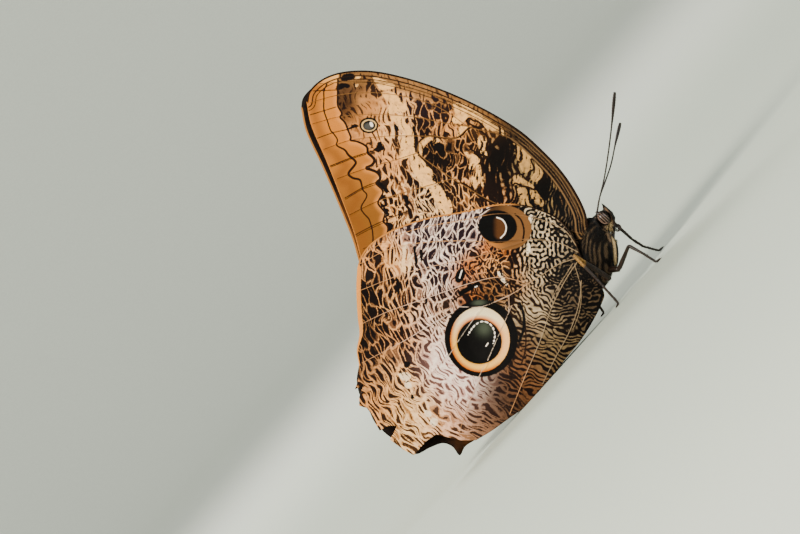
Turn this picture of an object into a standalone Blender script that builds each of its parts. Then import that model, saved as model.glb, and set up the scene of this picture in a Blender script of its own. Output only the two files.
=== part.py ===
"""A giant owl butterfly at rest, life size, with its wings closed over its back.

The animal is drawn in its side view, in millimetres: x runs to the right and z up, from the root
of the wings, and y runs to its left. The whole drawing is then turned about Y onto the floor, where
it stands on four walking legs and on the lower edge of its hindwings, with its head towards +X.
"""

import math

import bmesh
import bpy
import numpy as np
from mathutils import Matrix, Vector
from mathutils.geometry import delaunay_2d_cdt

MM = 0.001

# The stance: how far the drawing turns onto the floor, and where the wing root then stands
STANCE_TURN = math.radians(48)
ROOT_X = 18.98
ROOT_Y = -1.25
ROOT_Z = 15.96

# Clearance that neighbouring nodes keep, and the thickness of a wing membrane between its veins
GAP = 0.3
MEMBRANE = 0.5

# Spacing of the points along a wing's outline and veins, over its sheet, and where it bends, and
# the share of it that the points of a sheet keep clear of those lines
OUTLINE_STEP = 2.6
VEIN_STEP = 4.2
SHEET_STEP = 7.5
BEND_STEP = 3.4
CLEAR_SHARE = 0.45

# Wing sheets: distance of each inner face from the middle of the body, and how they part round it
FOREWING_INSIDE = 0.25
HINDWING_INSIDE = 1.35
FLARE = 2.0
FLARE_REACH = 14.0

# Veins: height of the ridge at the root and at the margin, its half width, and how near to a
# stronger vein its foot lines stop
RIDGE_AT_ROOT = 0.30
RIDGE_AT_MARGIN = 0.20
RIDGE_HALF_WIDTH = 0.42
FOOT_LINE_STOP = 0.59
WING_LENGTH = 72.0

# Body: centre of each cross-section, its half depth in the side view and its half width
THORAX = [
    (2.7, 2.5, 2.2, 1.9),
    (1.8, 1.0, 3.7, 3.2),
    (1.5, -1.6, 4.6, 4.1),
    (1.6, -4.6, 4.95, 4.6),
    (1.7, -7.6, 4.7, 4.5),
    (1.4, -10.3, 3.9, 3.7),
    (0.8, -12.5, 2.8, 2.75),
]
ABDOMEN_AXIS = [(1.2, -11.6), (-1.3, -15.2), (-4.5, -19.4), (-8.0, -23.7), (-11.2, -27.5), (-13.6, -30.4)]
ABDOMEN_HALF_DEPTH = [2.5, 3.0, 3.1, 2.9, 2.4, 0.9]
ABDOMEN_HALF_WIDTH = [2.5, 2.9, 2.95, 2.8, 2.3, 0.8]
ABDOMEN_SEGMENTS = 8
SEGMENT_GROOVE = 0.12

HEAD_CENTRE = (3.35, 3.0)
HEAD_HALF = (2.05, 2.1, 2.3)
EYE_CENTRE = (3.6, 1.75, 3.25)
EYE_HALF = (1.7, 1.15, 1.2)
EYE_SLANT = math.radians(38)


def side_of_floor(x, z):
    """Side-view place of a point given on the floor's own axes, in millimetres."""
    along = x - ROOT_X
    up = z - ROOT_Z
    cosine = math.cos(STANCE_TURN)
    sine = math.sin(STANCE_TURN)
    return (along * cosine - up * sine, along * sine + up * cosine)


# Forewing outline: costa from root to apex, outer margin to the hidden corner, and inner margin
FOREWING_COSTA = [(0.0, 0.7), (-0.5, 4.3), (-3.0, 9.6), (-6.4, 14.5), (-11.0, 19.3), (-15.5, 23.2),
                  (-24.7, 28.7), (-36.1, 33.6), (-47.5, 36.6), (-53.3, 36.9), (-57.8, 36.2),
                  (-61.3, 34.6), (-63.8, 32.0), (-64.3, 29.7)]
FOREWING_OUTER = [(-64.3, 29.7), (-63.4, 24.8), (-59.9, 16.5), (-56.5, 8.0), (-53.3, -0.7),
                  (-51.9, -5.9), (-49.8, -10.8)]
FOREWING_INNER = [(-49.8, -10.8), (-46.4, -13.0), (-36.1, -12.8), (-24.7, -10.3), (-13.3, -6.9),
                  (-4.1, -3.2), (0.4, -1.8)]

FOREWING_VEINS = {
    "costal": [(-1.0, 2.2), (-6.6, 12.6), (-15.2, 21.4), (-24.6, 26.7), (-36.2, 31.6),
               (-49.8, 34.4), (-61.4, 33.9)],
    "radial": [(-1.0, 1.4), (-3.9, 9.1), (-7.5, 14.2), (-12.1, 18.3), (-16.7, 21.0), (-21.3, 22.6),
               (-27.2, 24.1), (-31.5, 27.0), (-36.1, 29.4), (-43.0, 31.2), (-51.0, 31.9),
               (-57.6, 31.2), (-63.4, 29.6)],
    "first median": [(-27.2, 24.1), (-32.7, 24.9), (-38.9, 26.2), (-49.8, 26.9), (-57.0, 26.3),
                     (-63.0, 24.7)],
    "cell end": [(-27.2, 24.1), (-30.4, 21.5), (-36.1, 21.9), (-38.6, 20.3), (-39.1, 18.1)],
    "second median": [(-36.1, 21.9), (-43.8, 22.0), (-48.8, 21.7), (-54.6, 20.9), (-60.4, 18.9)],
    "cubital": [(-0.5, -0.6), (-6.4, 0.9), (-13.3, 3.4), (-22.2, 7.1), (-30.9, 12.2), (-36.8, 16.3),
                (-39.1, 18.1)],
    "third median": [(-39.1, 18.1), (-43.0, 16.8), (-51.2, 14.4), (-57.3, 12.2)],
    "first cubital": [(-30.9, 12.2), (-38.4, 10.1), (-47.7, 7.2), (-54.6, 3.9)],
    "second cubital": [(-17.8, 5.3), (-24.7, 3.9), (-33.8, 2.3), (-41.8, 0.0), (-51.4, -3.8)],
    "anal": [(-0.7, -1.2), (-6.4, -2.5), (-15.5, -4.6), (-27.0, -6.9), (-38.4, -8.2), (-49.4, -9.2)],
}

# Hindwing outline: costa from root to corner, outer margin, lower margin and the edge by the abdomen
HINDWING_COSTA = [(-1.6, -5.5), (-3.4, -0.9), (-6.6, 2.9), (-11.0, 5.2), (-16.0, 6.4), (-21.0, 6.3),
                  (-29.0, 4.6), (-37.3, 3.1), (-45.3, 0.2), (-49.6, -2.6), (-51.9, -5.6),
                  (-52.7, -8.2)]
HINDWING_OUTER = [(-52.7, -8.2), (-52.9, -12.8), (-52.6, -19.4), (-52.2, -23.3), (-52.8, -27.2),
                  (-52.3, -30.4)]
TORN_EDGE = [(-52.3, -30.4), (-52.6, -34.0), (-53.3, -36.0), (-51.2, -34.7), (-52.3, -37.6),
             (-52.3, -39.7), (-50.2, -40.3), (-49.2, -42.7), (-47.6, -45.4), (-45.6, -44.2),
             (-43.7, -44.3), (-44.4, -45.9), (-45.3, -47.4), (-42.1, -49.8), (-39.8, -51.0),
             (-37.0, -47.8), (-34.7, -46.2), (-31.9, -46.9), (-29.0, -47.6), (-25.6, -47.6)]
WHOLE_EDGE = [(-52.3, -30.4), (-52.8, -34.2), (-51.8, -38.2), (-49.0, -42.4), (-47.0, -45.4),
              (-44.4, -47.6), (-41.8, -49.8), (-39.2, -50.9), (-36.0, -49.4), (-33.0, -48.4),
              (-30.9, -49.2), (-29.2, -51.2), (-28.0, -49.2), (-25.6, -47.6)]
FLAT_FROM = side_of_floor(-21.2, 0.0)
FLAT_TO = side_of_floor(-15.2, 0.0)
REAR_EDGE = [(-25.6, -47.6), (-21.6, -45.2), (-18.2, -42.7), FLAT_FROM]
LOWER_EDGE = [FLAT_TO, side_of_floor(-10.0, 0.2), side_of_floor(-5.0, 0.45), side_of_floor(0.0, 0.75),
              (0.9, -20.6), (3.0, -16.5), (3.7, -14.2), (2.9, -12.4), (1.2, -10.6)]

HINDWING_VEINS = {
    "subcostal": [(-2.6, -3.4), (-5.4, 0.4), (-11.0, 2.9), (-20.1, 4.2), (-29.3, 2.6), (-38.4, 0.9),
                  (-44.8, -1.3), (-50.4, -4.5)],
    "radial": [(-2.3, -4.6), (-6.4, -2.6), (-13.3, -1.6), (-20.1, -2.2), (-32.0, -2.0), (-40.7, -2.8),
               (-45.9, -4.1), (-52.0, -7.2)],
    "first median": [(-13.3, -1.6), (-19.0, -3.6), (-27.2, -6.1), (-34.7, -7.6), (-42.1, -9.5),
                     (-52.3, -13.4)],
    "second median": [(-13.7, -11.8), (-20.1, -10.3), (-26.7, -11.6), (-37.0, -15.1), (-46.1, -18.3),
                      (-51.8, -21.0)],
    "cubital": [(-2.3, -5.8), (-6.7, -7.3), (-10.3, -9.6), (-13.7, -11.8), (-18.1, -14.5),
                (-24.0, -17.0)],
    "third median": [(-24.0, -17.0), (-29.5, -17.8), (-35.0, -20.6), (-41.8, -24.7), (-51.7, -29.9)],
    "first cubital": [(-24.0, -17.0), (-27.0, -21.0), (-32.2, -28.1), (-38.4, -35.0), (-44.1, -40.7),
                      (-46.0, -43.0)],
    "second cubital": [(-18.1, -14.5), (-18.2, -18.0), (-20.4, -23.0), (-22.4, -28.6), (-27.4, -39.5),
                       (-29.6, -46.3)],
    "second anal": [(-2.6, -6.9), (-4.8, -10.2), (-8.2, -16.7), (-11.0, -24.7), (-14.4, -32.7),
                    (-17.9, -41.6)],
    "third anal": [(-1.6, -11.0), (-2.2, -16.4), (-4.2, -22.4), (-7.6, -28.8), (-10.4, -34.6)],
}

# How far the left forewing stands turned about its root, and enlarged, so that its margin shows
LEFT_FOREWING_TURN = math.radians(1.5)
LEFT_FOREWING_GROWTH = 1.008

# Brush feet: how far their centre line stands off from the chest that they are folded on
BRUSH_STAND_OFF = 0.5

# Feet: the flat sole under the last joint of each leg
FOOT_HALF_WIDTH = 0.42
FOOT_HEIGHT = 0.75

# Feelers: centre line with the distance from the middle, and the radii from root to club
ANTENNA_RIGHT = [(2.1, 0.8, 4.3), (2.6, 1.6, 7.6), (3.6, 3.0, 12.2), (4.5, 4.9, 18.4),
                 (5.2, 7.2, 25.3), (5.65, 10.0, 31.8)]
ANTENNA_LEFT = [(2.1, 0.8, 4.3), (2.8, 2.2, 7.8), (4.2, 4.6, 11.4), (5.7, 7.6, 15.4),
                (6.9, 11.2, 20.2), (8.2, 15.0, 24.9)]
ANTENNA_RADIUS = 0.28
CLUB_RADIUS = 0.5
CLUB_SHARE = 0.3

PALPUS = [(5.0, 1.15, 1.3), (5.8, 1.2, 2.4), (5.3, 1.2, 3.9), (4.4, 1.1, 5.2), (3.3, 1.0, 6.4)]
PALPUS_RADII = [0.6, 0.85, 0.85, 0.62, 0.28]

# Tongue: where it leaves the mouth, and the coil that it is rolled up in
MOUTH = (4.6, 2.2)
COIL_CENTRE = (6.85, 0.9)
COIL_RADIUS = 0.8
COIL_TURNS = 0.95
TONGUE_THICKNESS = 0.45


def make_material(name, colour, roughness):
    material = bpy.data.materials.new(name)
    material.use_nodes = True
    shader = material.node_tree.nodes["Principled BSDF"]
    shader.inputs["Base Color"].default_value = (*colour, 1.0)
    shader.inputs["Roughness"].default_value = roughness
    shader.inputs["Metallic"].default_value = 0.0
    material.diffuse_color = (*colour, 1.0)
    return material


def clear_scene():
    for obj in list(bpy.data.objects):
        bpy.data.objects.remove(obj, do_unlink=True)


def add_object(name, vertices, faces, material, parent):
    """One closed mesh from points in millimetres, hung on the stance."""
    mesh = bpy.data.meshes.new(name)
    mesh.from_pydata([(x * MM, y * MM, z * MM) for x, y, z in vertices], [], faces)
    mesh.update()
    obj = bpy.data.objects.new(name, mesh)
    bpy.context.scene.collection.objects.link(obj)
    obj.parent = parent
    face_out(obj)
    obj.data.materials.append(material)
    return obj


def face_out(obj):
    """Turn the faces of a closed mesh outwards."""
    body = bmesh.new()
    body.from_mesh(obj.data)
    bmesh.ops.recalc_face_normals(body, faces=body.faces)
    if body.calc_volume(signed=True) < 0:
        bmesh.ops.reverse_faces(body, faces=body.faces)
    body.to_mesh(obj.data)
    body.free()


def bake(obj):
    """Apply the modifiers and keep only the largest closed surface."""
    bpy.context.view_layer.update()
    graph = bpy.context.evaluated_depsgraph_get()
    mesh = bpy.data.meshes.new_from_object(obj.evaluated_get(graph))
    obj.modifiers.clear()
    body = bmesh.new()
    body.from_mesh(mesh)
    bmesh.ops.triangulate(body, faces=body.faces)
    islands = []
    unseen = set(body.faces)
    while unseen:
        island = {unseen.pop()}
        edge_of_search = list(island)
        while edge_of_search:
            face = edge_of_search.pop()
            near = {other for edge in face.edges for other in edge.link_faces} & unseen
            unseen -= near
            island |= near
            edge_of_search += near
        islands.append(island)
    largest = max(islands, key=lambda island: sum(face.calc_area() for face in island))
    loose = [face for face in body.faces if face not in largest]
    bmesh.ops.delete(body, geom=loose, context="FACES")
    body.to_mesh(mesh)
    body.free()
    obj.data = mesh


def combine(obj, other, operation):
    modifier = obj.modifiers.new(operation.lower(), "BOOLEAN")
    modifier.operation = operation
    modifier.object = other
    bake(obj)


def cut_clear(obj, rooms):
    """Cut a node back by the room of each neighbour, so that they meet face to face across the gap."""
    for room in rooms:
        combine(obj, room, "DIFFERENCE")


def room_of(obj):
    """A cutter: a copy of a plain node that stands off from it by the gap all round."""
    room = obj.copy()
    room.data = obj.data.copy()
    room.name = obj.name + "_room"
    room.hide_render = True
    room.display_type = "WIRE"
    bpy.context.scene.collection.objects.link(room)
    body = bmesh.new()
    body.from_mesh(room.data)
    bmesh.ops.triangulate(body, faces=body.faces)
    body.normal_update()
    moves = [vertex.normal * GAP * MM * vertex.calc_shell_factor() for vertex in body.verts]
    for vertex, move in zip(body.verts, moves):
        vertex.co += move
    body.to_mesh(room.data)
    body.free()
    return room


def curve_through(points, spacing, straight=False):
    """Points about one spacing apart on a smooth curve, or on straight runs, through the given ones."""
    knots = np.array(points, float)
    if straight:
        dense = [knots[0]]
        for start, end in zip(knots[:-1], knots[1:]):
            steps = max(1, round(float(np.linalg.norm(end - start)) / spacing))
            dense += [start + (end - start) * step / steps for step in range(1, steps + 1)]
        return np.array(dense)
    before = 2 * knots[0] - knots[1]
    after = 2 * knots[-1] - knots[-2]
    padded = np.vstack([before, knots, after])
    dense = [knots[0]]
    fine_steps = 12
    for p0, p1, p2, p3 in zip(padded[:-3], padded[1:-2], padded[2:-1], padded[3:]):
        t0, t1, t2, t3 = np.cumsum([0.0] + [math.sqrt(float(np.linalg.norm(b - a)))
                                            for a, b in ((p0, p1), (p1, p2), (p2, p3))])
        for step in range(1, fine_steps + 1):
            t = t1 + (t2 - t1) * step / fine_steps
            a1 = ((t1 - t) * p0 + (t - t0) * p1) / (t1 - t0)
            a2 = ((t2 - t) * p1 + (t - t1) * p2) / (t2 - t1)
            a3 = ((t3 - t) * p2 + (t - t2) * p3) / (t3 - t2)
            b1 = ((t2 - t) * a1 + (t - t0) * a2) / (t2 - t0)
            b2 = ((t3 - t) * a2 + (t - t1) * a3) / (t3 - t1)
            dense.append(((t2 - t) * b1 + (t - t1) * b2) / (t2 - t1))
    dense = np.array(dense)
    travelled = np.concatenate([[0.0], np.cumsum(np.linalg.norm(np.diff(dense, axis=0), axis=1))])
    count = max(2, round(travelled[-1] / spacing) + 1)
    stops = np.linspace(0.0, travelled[-1], count)
    return np.column_stack([np.interp(stops, travelled, dense[:, k]) for k in range(dense.shape[1])])


def distance_to_line(points, line):
    """Distance of each point from a line of straight pieces."""
    points = np.asarray(points, float)[:, None, :]
    start = np.asarray(line, float)[None, :-1, :]
    run = np.asarray(line, float)[None, 1:, :] - start
    share = ((points - start) * run).sum(2) / (run ** 2).sum(2)
    nearest = start + np.clip(share, 0, 1)[:, :, None] * run
    return np.linalg.norm(points - nearest, axis=2).min(1)


BODY_LINE = np.array([(x, z) for x, z, _, _ in THORAX[:-1]] + ABDOMEN_AXIS[1:])


def flare(points):
    """How far the closed wings part round the body at each place of the side view."""
    near = np.clip(1 - distance_to_line(points, BODY_LINE) / FLARE_REACH, 0, 1)
    return FLARE * near * near * (3 - 2 * near)


def offset_line(line, distance):
    """The line moved sideways by a distance at every point."""
    run = np.gradient(line, axis=0)
    run /= np.linalg.norm(run, axis=1)[:, None]
    return line + distance * np.column_stack([-run[:, 1], run[:, 0]])


def inside(points, outline):
    """Which points lie inside a closed outline."""
    x, z = np.asarray(points, float).T
    found = np.zeros(len(x), bool)
    for (x1, z1), (x2, z2) in zip(outline, np.roll(outline, -1, axis=0)):
        if z1 == z2:
            continue
        crosses = (z1 > z) != (z2 > z)
        found ^= crosses & (x < (x2 - x1) * (z - z1) / (z2 - z1) + x1)
    return found


def fill_points(outline, lines):
    """Points spread over a wing, closer together where its sheet bends round the body."""
    low = outline.min(0)
    high = outline.max(0)
    found = []
    for spacing, near_body in ((SHEET_STEP, False), (BEND_STEP, True)):
        row_height = spacing * math.sqrt(3) / 2
        rows = int((high[1] - low[1]) / row_height) + 1
        columns = int((high[0] - low[0]) / spacing) + 2
        grid = np.array([(low[0] + (column + 0.5 * (row % 2)) * spacing, low[1] + row * row_height)
                         for row in range(rows) for column in range(columns)])
        body = distance_to_line(grid, BODY_LINE) < FLARE_REACH
        grid = grid[body if near_body else ~body]
        clear = CLEAR_SHARE * spacing
        grid = grid[inside(grid, outline)]
        closed_outline = np.vstack([outline, outline[:1]])
        grid = grid[distance_to_line(grid, closed_outline) > clear]
        for line in lines:
            grid = grid[distance_to_line(grid, line) > clear]
        found.append(grid)
    return np.vstack(found)


def wing(name, outline, veins, inside_face, side, material, parent):
    """One membrane of even thickness, its veins raised as ridges on the outer face.

    Both faces are split into the same triangles. The ridge is a fold in the outer face: a crest
    along the vein between two foot lines.
    """
    crests = []
    points = [tuple(point) for point in outline]
    count = len(points)
    edges = [(k, (k + 1) % count) for k in range(count)]
    for route in veins.values():
        crest = curve_through(route, VEIN_STEP)
        crests.append(crest)
        feet = [offset_line(crest, shift) for shift in (-RIDGE_HALF_WIDTH, RIDGE_HALF_WIDTH)]
        kept = []
        for foot in feet:
            others = [distance_to_line(foot, other) for other in crests[:-1]]
            free = np.min(others, axis=0) > FOOT_LINE_STOP if others else np.ones(len(foot), bool)
            kept.append(foot[free])
        for line in [crest, *kept]:
            line = line[inside(line, outline)]
            start = len(points)
            points += [tuple(point) for point in line]
            edges += [(k, k + 1) for k in range(start, len(points) - 1)]
    points += [tuple(point) for point in fill_points(outline, crests)]
    flat, _, triangles, _, _, _ = delaunay_2d_cdt(
        [Vector(point) for point in points], edges, [list(range(count))], 1, 1e-3)
    flat = np.array([tuple(point) for point in flat])
    reach = np.clip(np.linalg.norm(flat, axis=1) / WING_LENGTH, 0, 1)
    height = RIDGE_AT_ROOT + (RIDGE_AT_MARGIN - RIDGE_AT_ROOT) * reach
    nearest = np.min([distance_to_line(flat, crest) for crest in crests], axis=0)
    ridge = height * np.clip(1 - nearest / RIDGE_HALF_WIDTH, 0, 1)
    inner = inside_face + flare(flat)
    outer = inner + MEMBRANE + ridge
    vertices = [(x, side * y, z) for (x, z), y in zip(flat, inner)]
    vertices += [(x, side * y, z) for (x, z), y in zip(flat, outer)]
    shift = len(flat)
    faces = [tuple(face) for face in triangles]
    faces += [tuple(corner + shift for corner in reversed(face)) for face in triangles]
    uses = {}
    for face in triangles:
        for a, b in zip(face, (*face[1:], face[0])):
            uses.setdefault((min(a, b), max(a, b)), []).append((a, b))
    for directed in uses.values():
        if len(directed) == 1:
            a, b = directed[0]
            faces += [(b, a, a + shift), (b, a + shift, b + shift)]
    return add_object(name, vertices, faces, material, parent)


def turned(points, angle, growth):
    """Side-view points turned and enlarged about the wing root."""
    matrix = np.array([[math.cos(angle), -math.sin(angle)], [math.sin(angle), math.cos(angle)]])
    return growth * np.asarray(points, float) @ matrix.T


def join_runs(runs):
    """One closed outline from runs that start where the last one ends."""
    outline = []
    for points, straight in runs:
        outline += [tuple(point) for point in curve_through(points, OUTLINE_STEP, straight)[:-1]]
    return np.array(outline)


def forewing(side, material, parent):
    runs = [(FOREWING_COSTA, False), (FOREWING_OUTER, False), (FOREWING_INNER, False),
            ([FOREWING_INNER[-1], FOREWING_COSTA[0]], True)]
    outline = join_runs(runs)
    veins = dict(FOREWING_VEINS)
    name = "forewing_right"
    if side > 0:
        outline = turned(outline, LEFT_FOREWING_TURN, LEFT_FOREWING_GROWTH)
        veins = {key: turned(route, LEFT_FOREWING_TURN, LEFT_FOREWING_GROWTH)
                 for key, route in veins.items()}
        name = "forewing_left"
    return wing(name, outline, veins, FOREWING_INSIDE, side, material, parent)


def hindwing(side, material, parent):
    edge = (WHOLE_EDGE, False) if side > 0 else (TORN_EDGE, True)
    runs = [(HINDWING_COSTA, False), (HINDWING_OUTER, False), edge,
            (REAR_EDGE, False), ([FLAT_FROM, FLAT_TO], True), (LOWER_EDGE, False),
            ([LOWER_EDGE[-1], HINDWING_COSTA[0]], True)]
    outline = join_runs(runs)
    name = "hindwing_left" if side > 0 else "hindwing_right"
    return wing(name, outline, HINDWING_VEINS, HINDWING_INSIDE, side, material, parent)


def loft(name, stations, sides, material, parent):
    """A closed body through elliptical sections: each is a centre, a half depth and a half width."""
    centres = np.array([(x, z) for x, z, _, _ in stations])
    run = np.gradient(centres, axis=0)
    run /= np.linalg.norm(run, axis=1)[:, None]
    vertices = []
    for (x, z), (dx, dz), (_, _, depth, width) in zip(centres, run, stations):
        for k in range(sides):
            angle = 2 * math.pi * (k + 0.5) / sides
            out = depth * math.cos(angle)
            vertices.append((x + dz * out, width * math.sin(angle), z - dx * out))
    faces = []
    for ring in range(len(stations) - 1):
        for k in range(sides):
            a = ring * sides + k
            b = ring * sides + (k + 1) % sides
            faces.append((a, b, b + sides, a + sides))
    faces.append(tuple(range(sides)))
    last = (len(stations) - 1) * sides
    faces.append(tuple(range(last + sides - 1, last - 1, -1)))
    return add_object(name, vertices, faces, material, parent)


def tube(name, route, radii, sides, material, parent, flatten=1.0):
    """A tapered rod along a route of (x, y, z) places, with a closed pointed cap at each end."""
    route = np.array(route, float)
    run = np.gradient(route, axis=0)
    run /= np.linalg.norm(run, axis=1)[:, None]
    up = Vector((0.0, 1.0, 0.0))
    if abs(Vector(run[0]).dot(up)) > 0.9:
        up = Vector((1.0, 0.0, 0.0))
    across = Vector(run[0]).cross(up).normalized()
    vertices = []
    for centre, direction, radius in zip(route, run, radii):
        direction = Vector(direction)
        across = (across - direction * across.dot(direction)).normalized()
        other = direction.cross(across)
        for k in range(sides):
            angle = 2 * math.pi * k / sides
            spoke = across * math.cos(angle) + other * math.sin(angle) * flatten
            vertices.append(tuple(Vector(centre) + spoke * radius))
    faces = []
    for ring in range(len(route) - 1):
        for k in range(sides):
            a = ring * sides + k
            b = ring * sides + (k + 1) % sides
            faces.append((a, b, b + sides, a + sides))
    last = (len(route) - 1) * sides
    first_tip = tuple(Vector(route[0]) - Vector(run[0]) * radii[0] * 0.6)
    last_tip = tuple(Vector(route[-1]) + Vector(run[-1]) * radii[-1] * 0.6)
    vertices += [first_tip, last_tip]
    tip = len(vertices) - 2
    for k in range(sides):
        following = (k + 1) % sides
        faces.append((following, k, tip))
        faces.append((last + k, last + following, tip + 1))
    return add_object(name, vertices, faces, material, parent)


def ball(name, centre, halves, slant, subdivisions, material, parent):
    """An ellipsoid with its long axis slanted in the side view."""
    body = bmesh.new()
    bmesh.ops.create_icosphere(body, subdivisions=subdivisions, radius=1.0)
    size = Matrix.Diagonal((halves[0], halves[1], halves[2], 1.0))
    turn = Matrix.Rotation(slant, 4, "Y")
    body.transform(Matrix.Translation(centre) @ turn @ size)
    vertices = [tuple(vertex.co) for vertex in body.verts]
    faces = [tuple(vertex.index for vertex in face.verts) for face in body.faces]
    body.free()
    return add_object(name, vertices, faces, material, parent)


def abdomen_stations():
    """Two sections for each segment, the rear one a little wider than the fold behind it."""
    axis = curve_through(ABDOMEN_AXIS, 0.5)
    knots = np.linspace(0, 1, len(ABDOMEN_HALF_DEPTH))
    stations = []
    for segment in range(ABDOMEN_SEGMENTS):
        for share, groove in ((0.06, SEGMENT_GROOVE), (0.62, 0.0), (0.94, 0.0)):
            along = (segment + share) / ABDOMEN_SEGMENTS
            place = along * (len(axis) - 1)
            x = np.interp(place, range(len(axis)), axis[:, 0])
            z = np.interp(place, range(len(axis)), axis[:, 1])
            depth = np.interp(along, knots, ABDOMEN_HALF_DEPTH) - groove
            width = np.interp(along, knots, ABDOMEN_HALF_WIDTH) - groove
            stations.append((x, z, depth, width))
    return stations


def smooth_stations(stations, spacing):
    return [tuple(row) for row in curve_through(stations, spacing)]


def foot(name, heel, toe, material, parent):
    """The last joints of a foot, lying on the floor along a small flat sole."""
    heel = np.array(heel, float)
    toe = np.array(toe, float)
    along = toe - heel
    length = float(np.linalg.norm(along))
    along = along / length
    across = np.array([-along[1], along[0]])
    vertices = []
    for travel, half, height in ((0.0, 0.8, 1.0), (0.55, 1.0, 0.8), (1.0, 0.75, 0.55)):
        centre = heel + along * length * travel
        for sign, level in ((-1, 0.0), (1, 0.0), (0.7, height), (-0.7, height)):
            x, y = centre + across * FOOT_HALF_WIDTH * half * sign
            side_x, side_z = side_of_floor(x, level * FOOT_HEIGHT)
            vertices.append((side_x, y, side_z))
    faces = [(3, 2, 1, 0), (8, 9, 10, 11)]
    for ring in (0, 4):
        for k in range(4):
            following = (k + 1) % 4
            faces.append((ring + k, ring + following, ring + 4 + following, ring + 4 + k))
    return add_object(name, vertices, faces, material, parent)


def leg(name, joints, radii, heel, toe, material, parent):
    """Femur, tibia and foot as tapered rods joined in one closed body.

    The joints are (x, y, z) places in the side view. The heel and toe are places on the floor.
    """
    pieces = []
    for index, (start, end) in enumerate(zip(joints[:-1], joints[1:])):
        steps = curve_through([start, end], 2.5, True)
        first, last = radii[index]
        sizes = np.linspace(first, last, len(steps))
        pieces.append(tube(name + "_piece", steps, sizes, 6, material, parent))
    pieces.append(foot(name + "_foot", heel, toe, material, parent))
    whole = pieces[0]
    for piece in pieces[1:]:
        combine(whole, piece, "UNION")
        bpy.data.objects.remove(piece, do_unlink=True)
    whole.name = name
    whole.data.name = name
    return whole


def walking_legs(material, parent):
    """The four walking legs, each with a raised knee and a small sole flat on the floor."""
    plans = {
        "leg_mid_right": (
            [(4.8, -2.0, -8.6), (6.9, -5.2, -8.4), (8.9, -9.4, -3.0), (12.0, -10.8, -4.7)],
            (24.1, -11.7), (25.3, -12.0)),
        "leg_mid_left": (
            [(4.6, 2.0, -7.4), (5.8, 4.6, -5.6), (6.3, 7.6, 2.1), (10.7, 9.2, -1.8), (13.4, 10.3, -3.5)],
            (27.1, 11.6), (28.3, 12.0)),
        "leg_hind_right": (
            [(4.2, -2.4, -10.6), (4.6, -5.4, -10.4), (-3.6, -8.4, -5.2), (1.6, -9.5, -10.6)],
            (11.4, -10.3), (10.4, -10.9)),
        "leg_hind_left": (
            [(4.2, 2.4, -10.6), (4.6, 5.4, -10.4), (-3.9, 8.4, -6.4), (0.4, 9.6, -13.0)],
            (7.9, 10.3), (6.9, 10.9)),
    }
    radii = [(0.85, 0.72), (0.66, 0.46), (0.46, 0.38), (0.38, 0.34), (0.34, 0.3)]
    legs = []
    for name, (joints, heel, toe) in plans.items():
        ankle_x, ankle_z = side_of_floor(heel[0], 0.5 * FOOT_HEIGHT)
        joints = [*joints, (ankle_x, heel[1], ankle_z)]
        legs.append(leg(name, joints, radii, heel, toe, material, parent))
    return legs


def on_chest(z, across, stand_off):
    """A place that stands off from the front of the thorax, at a height and a distance from the middle."""
    sections = np.array(THORAX)[::-1]
    centre, depth, width = (np.interp(z, sections[:, 1], sections[:, column]) for column in (0, 2, 3))
    return (centre + depth * math.sqrt(1 - (across / width) ** 2) + stand_off, across, z)


def brush_foot(side, material, parent):
    """A fore leg, too small to walk on, folded up and down the front of the thorax."""
    name = "leg_fore_right" if side < 0 else "leg_fore_left"
    thigh = [on_chest(z, side * across, BRUSH_STAND_OFF)
             for z, across in ((0.0, 2.3), (-2.2, 2.35), (-4.4, 2.2), (-6.4, 1.9), (-8.2, 1.5))]
    shin = [on_chest(z, side * across, BRUSH_STAND_OFF)
            for z, across in ((-8.3, 1.5), (-6.4, 1.05), (-4.2, 0.85), (-1.8, 0.9))]
    thigh[0] = (thigh[0][0] - 1.0, thigh[0][1], thigh[0][2])
    pieces = []
    for route, first, last in ((thigh, 0.55, 0.45), (shin, 0.45, 0.3)):
        line = curve_through(route, 1.7)
        pieces.append(tube(name, line, np.linspace(first, last, len(line)), 6, material, parent))
    whole, rest = pieces
    combine(whole, rest, "UNION")
    bpy.data.objects.remove(rest, do_unlink=True)
    whole.name = name
    return whole


def antenna(name, route, side, material, parent):
    line = curve_through([(x, side * y, z) for x, y, z in route], 2.4)
    share = np.linspace(0, 1, len(line))
    swell = np.clip((share - 1 + CLUB_SHARE) / CLUB_SHARE, 0, 1)
    radii = ANTENNA_RADIUS + (CLUB_RADIUS - ANTENNA_RADIUS) * np.sin(swell * math.pi * 0.62)
    return tube(name, line, radii, 6, material, parent)


def palpus(side, material, parent):
    name = "palpus_right" if side < 0 else "palpus_left"
    line = curve_through([(x, side * y, z) for x, y, z in PALPUS], 1.0)
    share = np.linspace(0, 1, len(line))
    radii = np.interp(share, np.linspace(0, 1, len(PALPUS_RADII)), PALPUS_RADII)
    return tube(name, line, radii, 8, material, parent, flatten=0.7)


def proboscis(material, parent):
    """The tongue, rolled up under the head in a flat coil."""
    steps = 20
    start = math.radians(125)
    pitch = TONGUE_THICKNESS + 0.12
    line = [(MOUTH[0], 0.0, MOUTH[1])]
    for step in range(steps):
        turned_by = 2 * math.pi * COIL_TURNS * step / (steps - 1)
        radius = COIL_RADIUS - pitch * turned_by / (2 * math.pi)
        angle = start - turned_by
        line.append((COIL_CENTRE[0] + radius * math.cos(angle), 0.0,
                     COIL_CENTRE[1] + radius * math.sin(angle)))
    return tube("proboscis", line, [TONGUE_THICKNESS / 2] * len(line), 6, material, parent)


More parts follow.
